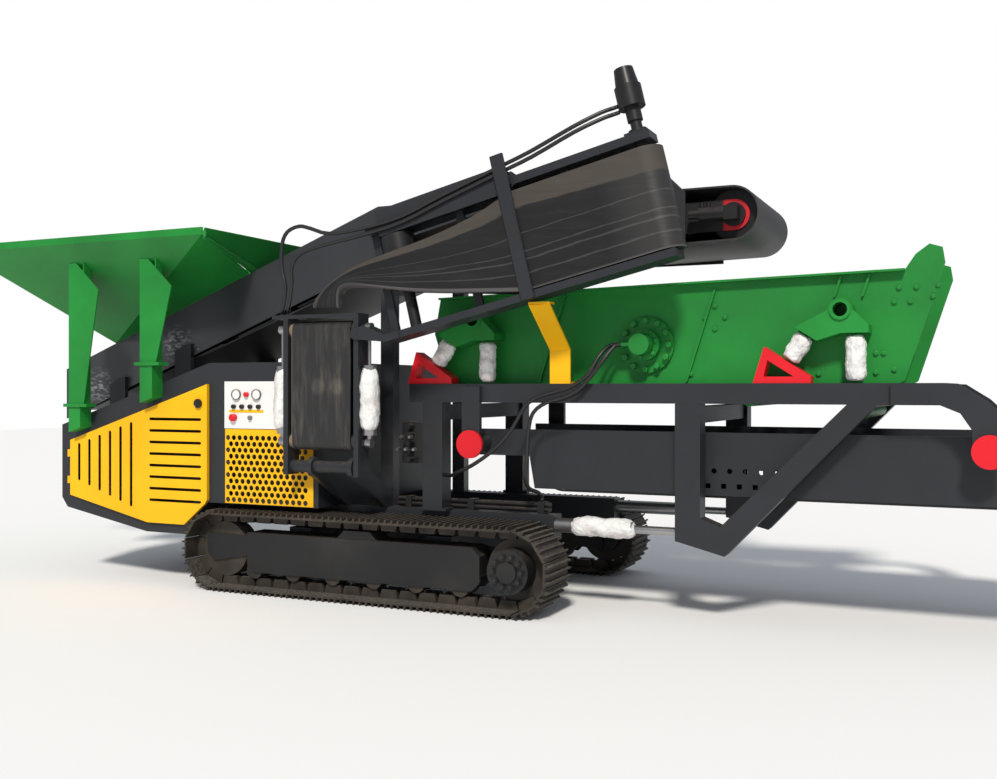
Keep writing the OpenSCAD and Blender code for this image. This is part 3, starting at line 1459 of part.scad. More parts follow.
near_track_shoes();
far_track_shoes();
track_frames();
track_wheels();
final_drives();
chassis_rails();
chassis_cross_beams();
engine_housing();
engine_door();
far_side_door();
cooler_grilles();
cooler_core();
control_panel();
hopper_near_wall();
hopper_far_wall();
hopper_rear_wall();
hopper_front_plate();
hopper_posts();
feed_walls();
feed_cross_members();
feed_belt();
feed_head_frame();
feed_drums();
feed_drive();
feed_posts();
feed_lugs();
screen_sides();
screen_back_plate();
screen_cross_tubes();
upper_deck();
lower_deck();
exciter();
exciter_motor();
exciter_hoses();
spring_brackets();
springs();
spring_seats();
subframe_beams();
subframe_posts();
subframe_vee_legs();
subframe_cross_beams();
tail_walls();
tail_belt();
tail_drums();
tail_arms();
pivot_caps();
lift_rams();
tower_base();
tower_frame();
tower_belt();
tower_cylinders();
head_frame();
head_belt();
head_slack_belt();
head_drum();
head_motor();
head_hoses();
transport_brace();
valve_block();
hydraulic_pipes();
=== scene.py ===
import json
import math

import bmesh
import bpy
from mathutils import Matrix, Vector
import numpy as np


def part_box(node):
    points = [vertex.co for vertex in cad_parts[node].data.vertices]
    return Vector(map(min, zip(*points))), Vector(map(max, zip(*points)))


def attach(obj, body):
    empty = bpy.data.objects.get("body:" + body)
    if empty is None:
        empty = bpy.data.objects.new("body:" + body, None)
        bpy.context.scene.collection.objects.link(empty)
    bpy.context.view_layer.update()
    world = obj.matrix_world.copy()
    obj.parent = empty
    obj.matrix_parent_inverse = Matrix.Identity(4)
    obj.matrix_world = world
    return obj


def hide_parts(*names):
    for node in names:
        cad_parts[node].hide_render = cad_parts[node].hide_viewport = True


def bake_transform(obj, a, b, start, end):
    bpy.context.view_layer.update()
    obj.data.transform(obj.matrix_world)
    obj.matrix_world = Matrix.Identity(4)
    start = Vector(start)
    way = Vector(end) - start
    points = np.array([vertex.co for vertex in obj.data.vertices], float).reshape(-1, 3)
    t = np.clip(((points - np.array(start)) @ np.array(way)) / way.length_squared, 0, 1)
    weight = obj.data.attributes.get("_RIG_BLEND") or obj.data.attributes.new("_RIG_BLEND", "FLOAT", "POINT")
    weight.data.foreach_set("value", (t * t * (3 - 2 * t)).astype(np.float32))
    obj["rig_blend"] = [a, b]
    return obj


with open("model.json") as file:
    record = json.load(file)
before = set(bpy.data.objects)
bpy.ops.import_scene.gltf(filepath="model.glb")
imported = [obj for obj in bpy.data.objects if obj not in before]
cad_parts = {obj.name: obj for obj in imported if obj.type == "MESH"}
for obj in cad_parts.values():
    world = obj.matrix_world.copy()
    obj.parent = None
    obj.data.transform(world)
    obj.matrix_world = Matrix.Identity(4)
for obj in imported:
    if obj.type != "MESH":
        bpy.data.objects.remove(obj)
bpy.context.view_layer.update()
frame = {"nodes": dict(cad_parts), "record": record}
nodes = frame["nodes"]
print("frame loaded:", len(nodes), "nodes")

# Camera, lights and floor
cameraSetup = {
    "place": (3.518, -7.75, 1.55),  # metres, stood at eye height off the near corner
    "yaw": 24.8,  # degrees towards the hopper
    "lens": 39.18,
    "sensor": 36.0,
    "shiftY": -0.0015,
}
lightSetup = {
    "skyColour": (0.86, 0.91, 1.0),
    "skyStrength": 0.44,
    "sunColour": (1.0, 0.95, 0.87),
    "sunStrength": 3.0,
    "sunAngle": 8.0,  # degrees across, for soft edges
    "sunTilt": (48.0, 0.0, 18.0),
    "floorSize": 60.0,
    "floorLevel": -0.002,  # just under the shoes
    "floorColour": (0.95, 0.95, 0.95, 1.0),
}


def addObject(name, data):
    thing = bpy.data.objects.new(name, data)
    bpy.context.scene.collection.objects.link(thing)
    return thing


def setCamera(setup):
    lensData = bpy.data.cameras.new("mainCamera")
    lensData.lens = setup["lens"]
    lensData.sensor_width = setup["sensor"]
    lensData.shift_y = setup["shiftY"]
    lensData.clip_end = 200.0
    camera = addObject("mainCamera", lensData)
    camera.location = setup["place"]
    camera.rotation_euler = (math.radians(90), 0, math.radians(setup["yaw"]))
    bpy.context.scene.camera = camera


class Wire:  # one output socket, so that shader maths reads as sums
    def __init__(self, tree, socket):
        self.tree = tree
        self.socket = socket

    def maths(self, operation, other=0.0, swap=False):
        node = self.tree.nodes.new("ShaderNodeMath")
        node.operation = operation
        pair = (other, self) if swap else (self, other)
        for place, value in enumerate(pair):
            if isinstance(value, Wire):
                self.tree.links.new(value.socket, node.inputs[place])
            else:
                node.inputs[place].default_value = value
        return Wire(self.tree, node.outputs[0])

    def __add__(self, other):
        return self.maths("ADD", other)

    def __radd__(self, other):
        return self.maths("ADD", other, True)

    def __sub__(self, other):
        return self.maths("SUBTRACT", other)

    def __rsub__(self, other):
        return self.maths("SUBTRACT", other, True)

    def __mul__(self, other):
        return self.maths("MULTIPLY", other)

    def __rmul__(self, other):
        return self.maths("MULTIPLY", other, True)

    def clamp(self):
        return self.maths("MAXIMUM", 0.0).maths("MINIMUM", 1.0)


class Finish:  # one material and its node tree
    def __init__(self, name, **settings):
        self.material = bpy.data.materials.new(name)
        self.material.use_nodes = True
        self.tree = self.material.node_tree
        self.shader = self.tree.nodes["Principled BSDF"]
        self.set(**settings)

    def set(self, **settings):
        for label, value in settings.items():
            socket = self.shader.inputs[label.replace("_", " ")]
            if isinstance(value, Wire):
                self.tree.links.new(value.socket, socket)
            else:
                socket.default_value = value

    def add(self, kind, settings=None, inputs=None, output=0):
        node = self.tree.nodes.new("ShaderNode" + kind)
        for label, value in (settings or {}).items():
            if label == "stops":
                for place, (position, colour) in enumerate(value):
                    ramp = node.color_ramp.elements
                    stop = ramp[place] if place < len(ramp) else ramp.new(position)
                    stop.position = position
                    stop.color = colour
            else:
                setattr(node, label, value)
        for label, value in (inputs or {}).items():
            socket = node.inputs[label]
            if isinstance(value, Wire):
                self.tree.links.new(value.socket, socket)
            else:
                socket.default_value = value
        return Wire(self.tree, node.outputs[output])

    def objectPlace(self):
        return self.add("TexCoord", output="Object")

    def noise(self, scale, detail=4.0, rough=0.55, stretch=None):
        place = self.objectPlace()
        if stretch:
            place = self.add("Mapping", inputs={"Vector": place, "Scale": stretch})
        return self.add("TexNoise", inputs={
            "Vector": place, "Scale": scale, "Detail": detail, "Roughness": rough})

    def mix(self, factor, first, second):
        return self.add("Mix", {"data_type": "RGBA"}, {0: factor, 6: first, 7: second}, output=2)

    def steps(self, value, low, high):  # 0 below low, 1 above high
        return self.add("MapRange", inputs={
            "Value": value, "From Min": low, "From Max": high, "To Min": 0.0, "To Max": 1.0})

    def upward(self):  # 1 on faces that look up
        normal = self.add("NewGeometry", output="Normal")
        return self.add("SeparateXYZ", inputs={"Vector": normal}, output=2)

    def along(self, direction, origin):  # metres along a direction from a point
        gap = self.add("VectorMath", {"operation": "SUBTRACT"}, {0: self.objectPlace(), 1: origin})
        return self.add("VectorMath", {"operation": "DOT_PRODUCT"}, {0: gap, 1: direction}, output="Value")

    def near(self, centre, inner, outer):  # 1 close to a point seen from the side, 0 beyond outer
        flat = self.add("VectorMath", {"operation": "MULTIPLY"}, {0: self.objectPlace(), 1: (1, 0, 1)})
        gap = self.add("VectorMath", {"operation": "DISTANCE"}, {0: flat, 1: centre}, output="Value")
        return 1.0 - self.steps(gap, inner, outer)

    def bump(self, height, strength, distance):
        return self.add("Bump", inputs={"Height": height, "Strength": strength, "Distance": distance})


dustColour = (0.30, 0.25, 0.19, 1.0)


def paintFinish(name, colour, shade, roughness=0.42, dust=0.35, coat=0.25):
    paint = Finish(name, Roughness=roughness, Coat_Weight=coat, Coat_Roughness=0.25, Specular_IOR_Level=0.28)
    cloudy = paint.noise(1.6, 5.0)
    fine = paint.noise(38.0, 3.0)
    base = paint.mix(paint.steps(cloudy, 0.38, 0.66), colour, shade)
    settled = paint.steps(paint.upward(), 0.3, 0.95) * paint.steps(fine, 0.30, 0.62)
    film = paint.steps(cloudy, 0.52, 0.78) * 0.22
    dusty = ((settled + film) * dust).clamp()
    paint.set(Base_Color=paint.mix(dusty, base, dustColour), Roughness=dusty * 0.4 + roughness)
    return paint.material


def wornSteel(name, colour, shade, roughness=0.6, metallic=0.35, wear=dustColour):
    steel = Finish(name, Metallic=metallic)
    cloudy = steel.noise(4.0, 6.0)
    grain = steel.noise(55.0, 4.0)
    base = steel.mix(steel.steps(cloudy, 0.35, 0.68), colour, shade)
    dusty = (steel.steps(steel.upward(), 0.1, 0.9) * steel.steps(grain, 0.35, 0.7) * 0.6).clamp()
    steel.set(Base_Color=steel.mix(dusty, base, wear), Roughness=dusty * 0.25 + roughness)
    return steel.material


def beltRubber(name, colour, dusty, along):
    rubber = Finish(name, Roughness=0.62)
    streak = rubber.noise(7.0, 5.0, stretch=along)
    cloud = rubber.noise(2.2, 4.0)
    film = (rubber.steps(streak, 0.48, 0.72) * rubber.steps(cloud, 0.35, 0.7) * 0.55).clamp()
    rubber.set(Base_Color=rubber.mix(film, colour, dusty), Roughness=film * 0.25 + 0.5)
    return rubber.material


hinge = Vector((-0.603, 0.0, 1.93))  # where the side conveyor folds
foldAngle = math.radians(13.5)
foldAlong = (math.cos(foldAngle), 0.0, math.sin(foldAngle))
foldAcross = (-math.sin(foldAngle), 0.0, math.cos(foldAngle))


def headBelt(name):  # a dusty band along the top edge, a few pale lines along the run, and a painted sheen (painted highlight) where the belt nears the head drum
    rubber = Finish(name, Specular_IOR_Level=0.35)
    share = rubber.add("Attribute", {"attribute_name": "across"}, output="Fac")  # 0 at the low edge, 1 at the top
    along = rubber.along(foldAlong, hinge)
    streak = rubber.noise(6.0, 6.0, stretch=(0.5, 1.0, 4.0))
    edge = 0.82 - rubber.steps(along, 1.2, 2.3) * 0.08 + (streak - 0.5) * 0.08
    band = rubber.steps(share - edge, 0.0, 0.02) * (0.45 + streak * 0.5)
    lines = 1.0 - rubber.steps(share, 0.0, 0.022)
    for place, width in ((0.30, 0.006), (0.38, 0.004), (0.16, 0.005), (0.56, 0.003)):
        apart = (share + (streak - 0.5) * 0.04 - place).maths("ABSOLUTE")
        lines = (1.0 - rubber.steps(apart, width, width * 2.2)) * 0.42 + lines
    # painted highlight: a pale sheen painted onto the belt as it nears the head drum, plus faint random streaks
    paintedSheenAndStreaks = rubber.steps(along, 1.95, 2.2) * 0.28 + rubber.steps(streak, 0.5, 0.75) * 0.08
    base = rubber.mix((paintedSheenAndStreaks + lines).clamp(), (0.008, 0.008, 0.009, 1), (0.085, 0.082, 0.080, 1))
    rubber.set(Base_Color=rubber.mix(band.clamp(), base, (0.075, 0.063, 0.052, 1)),
               Roughness=0.48 + band * 0.3, Normal=rubber.bump(streak, 0.25, 0.01))
    return rubber.material


def towerBelt(name):  # streaked belt with two rubbed patches and a rusty flat along its left edge
    rubber = Finish(name)
    streak = rubber.noise(7.0, 5.0, stretch=(4.0, 1.0, 0.5))
    cloud = rubber.noise(2.2, 4.0)
    film = rubber.steps(streak, 0.46, 0.70) * rubber.steps(cloud, 0.35, 0.7) * 0.6
    for centre in ((-0.925, 0.0, 1.56), (-0.765, 0.0, 1.56)):
        film = rubber.near(centre, 0.040, 0.072) * (0.05 + streak * 0.3) + film
    flat = 1.0 - rubber.steps(rubber.along((1, 0, 0), (-1.183, 0, 0)), 0.030, 0.036)
    base = rubber.mix(film.clamp(), (0.014, 0.014, 0.015, 1), (0.15, 0.13, 0.105, 1))
    rubber.set(Base_Color=rubber.mix(flat, base, rubber.mix(streak, (0.34, 0.24, 0.15, 1), (0.10, 0.07, 0.05, 1))),
               Roughness=0.55)
    return rubber.material


def scuffedPaint(name, colour, scuffs):  # slate paint with pale rubbed places
    paint = Finish(name, Coat_Weight=0.2, Coat_Roughness=0.25)
    cloudy = paint.noise(1.6, 5.0)
    fine = paint.noise(24.0, 5.0, stretch=(1.0, 1.0, 2.2))
    rub = 0.0
    for centre, inner, outer in scuffs:
        rub = paint.near(centre, inner, outer) * paint.steps(fine, 0.50, 0.60) + rub
    shade = paint.mix(paint.steps(cloudy, 0.4, 0.7), colour, (0.034, 0.035, 0.040, 1))
    paint.set(Base_Color=paint.mix(rub.clamp() * 0.45, shade, (0.42, 0.43, 0.46, 1)), Roughness=rub * 0.25 + 0.42)
    return paint.material


def twoTone(name, left, right, seam):  # one paint on each side of a line across the piece
    paint = Finish(name, Roughness=0.45)
    grain = paint.noise(9.0, 4.0)
    paint.set(Base_Color=paint.mix(paint.steps(paint.along((1, 0, 0), (seam, 0, 0)) + grain * 0.05, 0.0, 0.02),
                                   left, right))
    return paint.material


def filmFinish(name):  # crinkled wrapping film with a few stains, and painted shade darkening its creases
    film = Finish(name, Coat_Weight=0.35, Coat_Roughness=0.2)
    stain = film.noise(7.0, 4.0)
    crease = film.noise(34.0, 5.0, 0.65)
    base = film.mix(film.steps(stain, 0.52, 0.70) * 0.55, (0.80, 0.80, 0.79, 1), (0.52, 0.36, 0.33, 1))
    # painted shade: the creases are darkened to grey along the same noise that bumps them
    base = film.mix(film.steps(crease, 0.56, 0.72) * 0.35, base, (0.36, 0.37, 0.38, 1))
    film.set(Base_Color=base, Roughness=0.28 + crease * 0.2, Normal=film.bump(crease, 0.6, 0.02))
    return film.material


slatePaint = paintFinish("slatePaint", (0.024, 0.026, 0.031, 1), (0.018, 0.020, 0.024, 1), 0.45, 0.16, 0.12)
greenPaint = paintFinish("greenPaint", (0.014, 0.250, 0.036, 1), (0.010, 0.185, 0.027, 1), 0.48, 0.05, 0.04)
yellowPaint = paintFinish("yellowPaint", (0.92, 0.49, 0.003, 1), (0.84, 0.43, 0.003, 1), 0.5, 0.04, 0.04)
redPaint = paintFinish("redPaint", (0.72, 0.010, 0.020, 1), (0.62, 0.008, 0.016, 1), 0.42, 0.06, 0.1)
blackPaint = paintFinish("blackPaint", (0.011, 0.011, 0.012, 1), (0.016, 0.016, 0.017, 1), 0.45, 0.18, 0.12)
whitePaint = paintFinish("whitePaint", (0.82, 0.82, 0.80, 1), (0.74, 0.74, 0.72, 1), 0.4, 0.05)
feedPaint = scuffedPaint("feedPaint", (0.024, 0.026, 0.031, 1), (
    ((-3.66, 0.0, 1.55), 0.03, 0.20), ((-3.50, 0.0, 1.42), 0.02, 0.13),
    ((-2.78, 0.0, 1.92), 0.03, 0.19), ((-2.62, 0.0, 1.80), 0.02, 0.13)))
headPlate = twoTone("headPlate", (0.013, 0.013, 0.014, 1), (0.60, 0.008, 0.018, 1), 1.84)
trackSteel = wornSteel("trackSteel", (0.026, 0.022, 0.018, 1), (0.070, 0.057, 0.044, 1), wear=(0.36, 0.33, 0.29, 1))
deckSteel = wornSteel("deckSteel", (0.16, 0.14, 0.12, 1), (0.09, 0.075, 0.06, 1))
rodSteel = wornSteel("rodSteel", (0.42, 0.42, 0.42, 1), (0.30, 0.30, 0.31, 1), 0.28, 0.9)
greySteel = wornSteel("greySteel", (0.20, 0.20, 0.205, 1), (0.15, 0.15, 0.155, 1), 0.5, 0.3)
feedRubber = beltRubber("feedRubber", (0.020, 0.020, 0.021, 1), (0.10, 0.085, 0.068, 1), (0.4, 3.0, 0.4))
headRubber = headBelt("headRubber")
towerRubber = towerBelt("towerRubber")
hoseRubber = Finish("hoseRubber", Base_Color=(0.014, 0.014, 0.015, 1), Roughness=0.42).material
filmWhite = filmFinish("filmWhite")

nodeFinish = {
    "steel": rodSteel, "slate": slatePaint, "green": greenPaint, "yellow": yellowPaint, "red": redPaint,
    "white": whitePaint, "black": blackPaint, "belt": feedRubber, "wrap": filmWhite,
}
nodeOwnFinish = {
    "near_track_shoes": trackSteel, "far_track_shoes": trackSteel, "track_wheels": trackSteel,
    "track_frames": blackPaint, "upper_deck": deckSteel, "lower_deck": deckSteel, "feed_walls": feedPaint,
    "feed_posts": feedPaint, "feed_drums": blackPaint, "tower_belt": towerRubber, "head_belt": headRubber,
    # the head drum is painted black as painted shade, standing in for the shadow it sits in
    "feed_head_frame": headPlate, "head_drum": blackPaint, "head_slack_belt": headRubber,
    "head_hoses": hoseRubber, "exciter_hoses": hoseRubber,
}


def coverWith(piece, finish):
    piece.data.materials.clear()
    piece.data.materials.append(finish)


def dressNodes():
    for part in frame["record"]["subparts"]:
        finish = nodeOwnFinish.get(part["node"], nodeFinish[part["material_slot"]])
        coverWith(nodes[part["node"]], finish)
    print("finishes set on", len(nodes), "nodes")


def setLights(setup):
    world = bpy.data.worlds.new("studio")
    bpy.context.scene.world = world
    world.use_nodes = True
    tree = world.node_tree
    sky = tree.nodes["Background"]
    sky.inputs["Color"].default_value = (*setup["skyColour"], 1.0)
    sky.inputs["Strength"].default_value = setup["skyStrength"]
    plain = tree.nodes.new("ShaderNodeBackground")
    plain.inputs["Color"].default_value = (1.0, 1.0, 1.0, 1.0)
    path = tree.nodes.new("ShaderNodeLightPath")
    mix = tree.nodes.new("ShaderNodeMixShader")
    tree.links.new(path.outputs["Is Camera Ray"], mix.inputs[0])
    tree.links.new(sky.outputs[0], mix.inputs[1])
    tree.links.new(plain.outputs[0], mix.inputs[2])
    tree.links.new(mix.outputs[0], tree.nodes["World Output"].inputs["Surface"])
    lamp = bpy.data.lights.new("keyLamp", "SUN")
    lamp.energy = setup["sunStrength"]
    lamp.color = setup["sunColour"]
    lamp.angle = math.radians(setup["sunAngle"])
    sun = addObject("keyLamp", lamp)
    sun.rotation_euler = [math.radians(turn) for turn in setup["sunTilt"]]


def setFloor(setup):
    pickNone()
    bpy.ops.mesh.primitive_plane_add(size=setup["floorSize"], location=(0, 0, setup["floorLevel"]))
    floor = bpy.context.object
    floor.name = "studioFloor"
    ground = Finish("studioFloor", Roughness=0.9, Base_Color=setup["floorColour"])
    floor.data.materials.append(ground.material)


def pickNone():
    bpy.ops.object.select_all(action="DESELECT")


def pickOnly(piece):
    pickNone()
    piece.select_set(True)
    bpy.context.view_layer.objects.active = piece


def editShape(piece, kind, takes, work):  # work runs in edit mode on what the rule takes
    pickOnly(piece)
    bpy.ops.object.mode_set(mode="EDIT")
    bpy.ops.mesh.select_mode(type=kind)
    bpy.ops.mesh.select_all(action="DESELECT")
    shape = bmesh.from_edit_mesh(piece.data)
    for item in (shape.faces if kind == "FACE" else shape.edges):
        if takes(item):
            item.select_set(True)
    bmesh.update_edit_mesh(piece.data)
    work()
    bpy.ops.object.mode_set(mode="OBJECT")


def editFaces(piece, rule, work):  # by a face's normal
    editShape(piece, "FACE", lambda face: rule(face.normal), work)


def editEdges(piece, rule, work):  # by an edge's two ends
    editShape(piece, "EDGE", lambda edge: rule(edge.verts[0].co, edge.verts[1].co), work)


def facesUp(normal):
    return normal.z > 0.9


def everyFace(normal):
    return True


def roundOff(piece, levels):
    rounder = piece.modifiers.new("rounder", "SUBSURF")
    rounder.levels = levels
    rounder.render_levels = levels
    bpy.ops.object.modifier_apply(modifier="rounder")


def joinPieces(name, pieces):
    pickNone()
    for piece in pieces:
        piece.select_set(True)
    bpy.context.view_layer.objects.active = pieces[0]
    bpy.ops.object.join()
    pieces[0].name = name
    return pieces[0]


def shadeRound(piece, degrees=40):
    pickOnly(piece)
    bpy.ops.object.shade_smooth_by_angle(angle=math.radians(degrees))


# A hex bolt on its washer, made once and copied
boltShape = {"radius": 0.015, "depth": 0.010, "washer": 0.021, "washerDepth": 0.003}
boltEdges = {"inset": 0.003, "crown": 0.0015, "washerInset": 0.002}


def makeBolt(setup):
    pickNone()
    bpy.ops.mesh.primitive_cylinder_add(vertices=6, radius=setup["radius"], depth=setup["depth"],
                                        location=(0, 0, setup["washerDepth"] + setup["depth"] / 2))
    head = bpy.context.object
    bpy.ops.object.transform_apply()

    def crown():
        bpy.ops.mesh.inset(thickness=boltEdges["inset"])
        bpy.ops.transform.translate(value=(0, 0, boltEdges["crown"]))
    editFaces(head, facesUp, crown)
    bpy.ops.mesh.primitive_cylinder_add(vertices=12, radius=setup["washer"], depth=setup["washerDepth"],
                                        location=(0, 0, setup["washerDepth"] / 2))
    washer = bpy.context.object
    bpy.ops.object.transform_apply()
    editFaces(washer, facesUp, lambda: bpy.ops.mesh.inset(thickness=boltEdges["washerInset"]))
    bolt = joinPieces("boltMaster", [head, washer])
    bolt.data.transform(Matrix.Rotation(math.radians(90), 4, "X"))  # its head faces the near side
    return bolt


def copyAt(master, places, turnStep=0.5):
    copies = []
    for count, place in enumerate(places):
        mesh = master.data.copy()
        mesh.transform(Matrix.Translation(place) @ Matrix.Rotation(turnStep * count, 4, "Y"))
        copies.append(addObject("copy", mesh))
    return copies


def ringPlaces(centre, radius, count, start=0.0):
    turns = [start + 2 * math.pi * step / count for step in range(count)]
    return [Vector((centre[0] + radius * math.cos(turn), centre[1], centre[2] + radius * math.sin(turn)))
            for turn in turns]


def setBolts(name, master, places, finish, body):
    bolts = joinPieces(name, copyAt(master, places))
    coverWith(bolts, finish)
    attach(bolts, body)


studShape = {"radius": 0.022, "depth": 0.034, "washer": 0.027, "washerDepth": 0.004}
screenBolts = {
    "diamond": (1.803, 2.018, 0.067, 0.076),  # centre and half spread
    "plate": ((2.952, 2.172), (3.052, 2.172), (2.924, 2.085), (3.018, 2.085), (3.149, 2.110), (3.180, 2.178)),
    "foot": ((2.816, 1.768), (2.862, 1.768), (2.816, 1.646), (2.924, 1.665), (2.470, 1.640), (1.640, 1.642)),
    "flange": 0.165, "flangeCount": 12, "cap": 0.088, "capCount": 6, "capTurn": 0.3,
    "sideIn": 0.0245, "capOut": 0.0605,  # from the exciter's near end
}


def boltScreen(setup, master):
    low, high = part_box("exciter")
    side = low.y + setup["sideIn"]
    middle, level, wide, tall = setup["diamond"]
    spots = [(middle, level + tall), (middle - wide, level), (middle + wide, level), (middle, level - tall)]
    spots += list(setup["plate"]) + list(setup["foot"])
    places = [Vector((x, side, z)) for x, z in spots]
    axis = ((low.x + high.x) / 2, low.y, (low.z + high.z) / 2)
    cap = (axis[0], low.y - setup["capOut"], axis[2])
    places += ringPlaces(cap, setup["cap"], setup["capCount"], setup["capTurn"])
    setBolts("screenBolts", master, places, greenPaint, "screen_box")
    stud = makeBolt(studShape)
    setBolts("exciterStuds", stud, ringPlaces(axis, setup["flange"], setup["flangeCount"]), greenPaint, "screen_box")
    bpy.data.objects.remove(stud)
    print("screen bolts set:", len(places))


driveBolts = {"ring": 0.105, "count": 10}


def boltDrives(setup, master):
    low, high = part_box("final_drives")
    axis = ((low.x + high.x) / 2, low.y, (low.z + high.z) / 2)
    setBolts("driveBolts", master, ringPlaces(axis, setup["ring"], setup["count"]), blackPaint, "machine")
    print("drive bolts set:", setup["count"])


# Wrapping film left on springs and cylinders
creaseShare = 0.35  # of the folds' depth
filmSetup = {"sides": 20, "cuts": 9, "tuck": 0.72, "foldSize": 0.055, "foldDepth": 0.030, "creaseSize": 0.016}


def makeFilm(foot, top, radius, setup, neck=1.0):
    run = top - foot
    length = run.length
    pickNone()
    bpy.ops.mesh.primitive_cylinder_add(vertices=setup["sides"], radius=radius, depth=length,
                                        location=(0, 0, length / 2))
    film = bpy.context.object
    bpy.ops.object.transform_apply()
    editEdges(film, lambda a, b: abs(a.z - b.z) > 0.6 * length,
              lambda: bpy.ops.mesh.subdivide(number_cuts=setup["cuts"]))
    step = length / (setup["cuts"] + 1)
    for low, high, size in ((-1, 0.3 * step, setup["tuck"]), (length - 0.3 * step, length + 1, setup["tuck"] * neck),
                            (length - 1.3 * step, length - 0.7 * step, neck)):
        editEdges(film, lambda a, b: low < a.z < high and low < b.z < high,
                  lambda: bpy.ops.transform.resize(value=(size, size, 1), center_override=(0, 0, (low + high) / 2)))
    film.data.transform(Matrix.Translation(foot) @ run.to_track_quat("Z", "Y").to_matrix().to_4x4())
    for label, size, depth in (("folds", setup["foldSize"], setup["foldDepth"]),
                               ("creases", setup["creaseSize"], setup["foldDepth"] * creaseShare)):
        roundOff(film, 1)
        texture = bpy.data.textures.new(label, "CLOUDS")
        texture.noise_scale = size
        crinkle = film.modifiers.new(label, "DISPLACE")
        crinkle.texture = texture
        crinkle.texture_coords = "LOCAL"
        crinkle.strength = depth
        bpy.ops.object.modifier_apply(modifier=label)
    coverWith(film, filmWhite)
    shadeRound(film, 60)
    return film


springPlaces = {"stations": (2.709, 0.189), "side": 0.730, "foot": 1.588, "top": 1.882, "radius": 0.062,
                "leanFoot": (-0.407, 1.717), "leanDegrees": 56.8, "leanLength": 0.205,
                "leanFrom": 0.03, "leanTo": 0.97,  # shares of that length which the film covers
                "uprightBlend": (1.62, 1.86), "leaningBlend": (1.765, 1.850)}  # levels over which the film gives


def wrapSprings(setup):
    upright, leaning = [], []
    turn = math.radians(setup["leanDegrees"])
    for station in setup["stations"]:
        for side in (-setup["side"], setup["side"]):
            upright.append(makeFilm(Vector((station, side, setup["foot"])), Vector((station, side, setup["top"])),
                                    setup["radius"], filmSetup))
            foot = Vector((station + setup["leanFoot"][0], side, setup["leanFoot"][1]))
            reach = Vector((math.cos(turn), 0, math.sin(turn))) * setup["leanLength"]
            leaning.append(makeFilm(foot + reach * setup["leanFrom"], foot + reach * setup["leanTo"],
                                    setup["radius"], filmSetup))
    for name, films, (low, high) in (("uprightWraps", upright, setup["uprightBlend"]),
                                     ("leaningWraps", leaning, setup["leaningBlend"])):
        wraps = joinPieces(name, films)
        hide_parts("springs")
        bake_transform(wraps, "machine", "screen_box", (0, 0, low), (0, 0, high))
    print("springs wrapped")


bagSetup = {"sides": 20, "cuts": 9, "tuck": 0.6, "foldSize": 0.070, "foldDepth": 0.034, "creaseSize": 0.018}
cylinderFilm = {"low": 1.235, "high": 1.715, "radius": 0.070, "inset": 0.048, "leftNeck": 0.85, "rightNeck": 0.75}
ramFilm = {"from": 0.80, "to": 1.28, "radius": 0.068, "inset": 0.05}


def wrapCylinders(setup, ram):
    low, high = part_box("tower_cylinders")
    films = []
    for x, neck in ((low.x + setup["inset"], setup["leftNeck"]), (high.x - setup["inset"], setup["rightNeck"])):
        y = (low.y + high.y) / 2
        films.append(makeFilm(Vector((x, y, setup["low"])), Vector((x, y, setup["high"])),
                              setup["radius"], bagSetup, neck))
    wraps = joinPieces("cylinderWraps", films)
    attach(wraps, "side_tower")
    low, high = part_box("lift_rams")
    level = (low.z + high.z) / 2
    side = low.y + ram["inset"]
    wrap = makeFilm(Vector((ram["from"], side, level)), Vector((ram["to"], side, level)), ram["radius"], bagSetup)
    wrap.name = "ramWrap"
    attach(wrap, "machine")
    print("cylinders wrapped")


# Soft pieces that bend across a joint
softPieces = (
    ("headHoses", "head_hoses", "side_tower", "side_head", (-1.25, 0, 2.16), (-0.55, 0, 2.75)),
    ("exciterHoses", "exciter_hoses", "machine", "screen_box", (0.80, 0, 1.52), (1.19, 0, 1.83)),
)


def bendPieces(pieces):
    for name, node, still, moving, start, end in pieces:
        piece = addObject(name, nodes[node].data.copy())

        def finer():
            bpy.ops.mesh.remove_doubles(threshold=0.0001)
            bpy.ops.mesh.tris_convert_to_quads()
            bpy.ops.mesh.subdivide(number_cuts=1)
        editFaces(piece, everyFace, finer)
        shadeRound(piece, 50)
        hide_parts(node)
        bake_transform(piece, still, moving, start, end)
    print("soft pieces:", len(pieces))


# The folded section's belt: straight by the drum, loose and curled towards the tower
beltShape = {
    "high": ((0.548, -1.231, 2.834), (0.420, -1.231, 2.745), (0.270, -1.236, 2.675), (-0.005, -1.244, 2.572),
             (-0.320, -1.248, 2.490), (-0.620, -1.232, 2.412), (-0.830, -1.190, 2.315), (-0.970, -1.170, 2.215),
             (-1.020, -1.165, 2.130)),
    "low": ((0.703, -1.231, 2.187), (0.560, -1.232, 2.190), (0.370, -1.238, 2.200), (0.010, -1.255, 2.210),
            (-0.320, -1.272, 2.243), (-0.564, -1.272, 2.288), (-0.704, -1.245, 2.308), (-0.780, -1.215, 2.255),
            (-0.790, -1.175, 2.130)),
    "curl": (0.03, 0.05, 0.2, 0.45, 0.05, 0.7, 1.0, 0.6, 0.2),  # eased where the tail drum is behind
    "lip": ((0.02, 0.150, 0.020), (0.0, 0.120, -0.035), (0.0, 0.050, -0.040)),
    "rows": 7, "thickness": 0.011,
    "cut": 1.33,  # metres from the hinge to where the straight belt begins
    "lowEdge": 0.055, "width": 0.665,  # the straight belt's low edge under the hinge line, and its width
}


